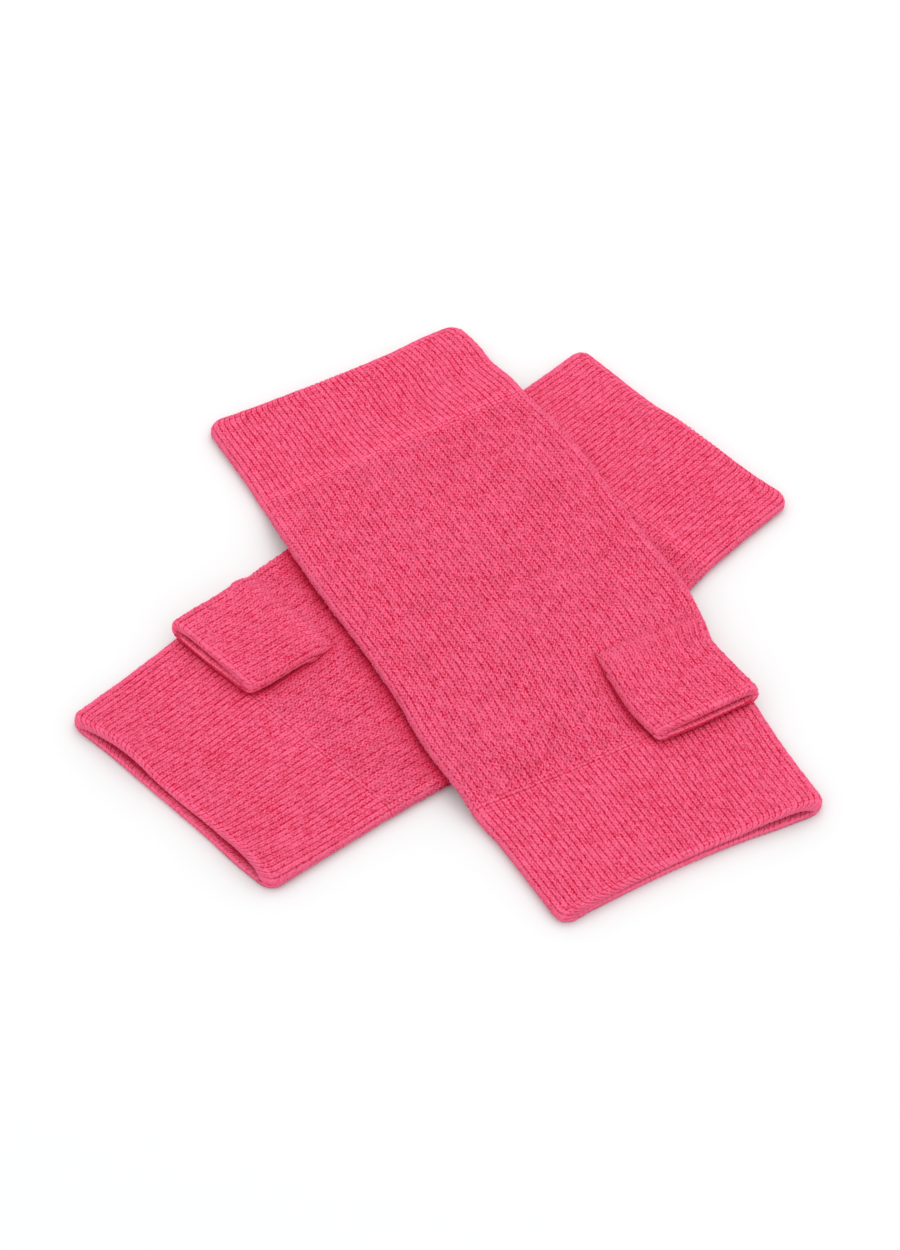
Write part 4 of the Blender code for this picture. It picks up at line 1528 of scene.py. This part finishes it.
class WRISTWARMERS_OT_stage(bpy.types.Operator):
    """Set the floor, the soft lights and the camera"""

    bl_idname = "wrist_warmers.stage"
    bl_label = "Stage"

    def execute(self, context):
        scene = context.scene
        stage = scene.wrist_warmer_stage
        add_floor(stage)
        add_lights(scene, stage)
        add_camera(scene)
        scene.view_settings.view_transform = "Standard"
        return {"FINISHED"}


def add_floor(stage):
    """A pale floor, a little uneven in tone."""
    half = FLOOR_HALF
    mesh = bpy.data.meshes.new("floor")
    corners = [(x, y, FLOOR_LEVEL) for x, y in ((-half, -half), (half, -half), (half, half), (-half, half))]
    mesh.from_pydata(corners, [], [(0, 1, 2, 3)])
    floor = bpy.data.objects.new("floor", mesh)
    bpy.context.scene.collection.objects.link(floor)
    material = bpy.data.materials.new("pale_floor")
    material.use_nodes = True
    nodes = Nodes(material.node_tree)
    shader = material.node_tree.nodes["Principled BSDF"]
    place_on_floor = nodes.add("ShaderNodeTexCoord").outputs["Object"]
    tone = nodes.noise(place_on_floor, 3.0).outputs["Fac"]
    low = tuple(FLOOR_SHADE * value for value in stage.floor_colour)
    nodes.join(nodes.mixed(tone, (*low, 1.0), (*stage.floor_colour, 1.0)), shader.inputs["Base Color"])
    shader.inputs["Roughness"].default_value = 0.9
    shader.inputs["Specular IOR Level"].default_value = 0.1
    mesh.materials.append(material)


def add_lights(scene, stage):
    """Even light from all round, and a soft key light from behind the pair."""
    world = bpy.data.worlds.new("soft_light")
    world.use_nodes = True
    background = world.node_tree.nodes["Background"]
    background.inputs["Color"].default_value = (1.0, 1.0, 1.0, 1.0)
    background.inputs["Strength"].default_value = stage.sky
    scene.world = world
    light = bpy.data.lights.new("key_light", "AREA")
    light.energy = stage.key
    light.shape = "SQUARE"
    light.size = KEY_SIZE
    lamp = bpy.data.objects.new("key_light", light)
    lamp.location = KEY_PLACE
    lamp.rotation_mode = "QUATERNION"
    lamp.rotation_quaternion = lamp.location.to_track_quat("Z", "Y")
    scene.collection.objects.link(lamp)


def add_camera(scene):
    """The photograph's view: it looks down at about 50 degrees, turned a little."""
    camera = bpy.data.cameras.new("camera")
    camera.sensor_fit = "VERTICAL"
    camera.sensor_height = 36
    camera.lens = CAMERA_LENS
    camera.clip_end = 20
    holder = bpy.data.objects.new("camera", camera)
    back = Vector((0, -math.cos(CAMERA_PITCH), math.sin(CAMERA_PITCH)))
    holder.location = Vector(CAMERA_AIM) + back * CAMERA_DISTANCE
    holder.rotation_mode = "QUATERNION"
    holder.rotation_quaternion = back.to_track_quat("Z", "Y") @ Quaternion((0, 0, 1), -CAMERA_ROLL)
    scene.collection.objects.link(holder)
    scene.camera = holder


class WRISTWARMERS_PT_panel(bpy.types.Panel):
    """Buttons and settings of the wrist warmers"""

    bl_label = "Wrist Warmers"
    bl_space_type = "VIEW_3D"
    bl_region_type = "UI"
    bl_category = "Wrist Warmers"

    def draw(self, context):
        layout = self.layout
        for operator in OPERATORS:
            layout.operator(operator.bl_idname)
        for name, kind in SETTINGS.items():
            box = layout.box()
            for setting in kind.__annotations__:
                box.prop(getattr(context.scene, name), setting)


OPERATORS = (
    WRISTWARMERS_OT_bodies,
    WRISTWARMERS_OT_ribs,
    WRISTWARMERS_OT_thumbs,
    WRISTWARMERS_OT_nap,
    WRISTWARMERS_OT_stage,
)
SETTINGS = {
    "wrist_warmer_knit": WristWarmerKnit,
    "wrist_warmer_wool": WristWarmerWool,
    "wrist_warmer_stage": WristWarmerStage,
}
CLASSES = (*SETTINGS.values(), *OPERATORS, WRISTWARMERS_PT_panel)


def register():
    for one in CLASSES:
        bpy.utils.register_class(one)
    for name, settings in SETTINGS.items():
        setattr(bpy.types.Scene, name, bpy.props.PointerProperty(type=settings))


def unregister():
    for name in SETTINGS:
        delattr(bpy.types.Scene, name)
    for one in reversed(CLASSES):
        bpy.utils.unregister_class(one)


def main():
    """Builds the whole scene."""
    register()
    bpy.ops.wrist_warmers.bodies()
    bpy.ops.wrist_warmers.ribs()
    bpy.ops.wrist_warmers.thumbs()
    bpy.ops.wrist_warmers.nap()
    bpy.ops.wrist_warmers.stage()


if __name__ == "__main__":
    main()
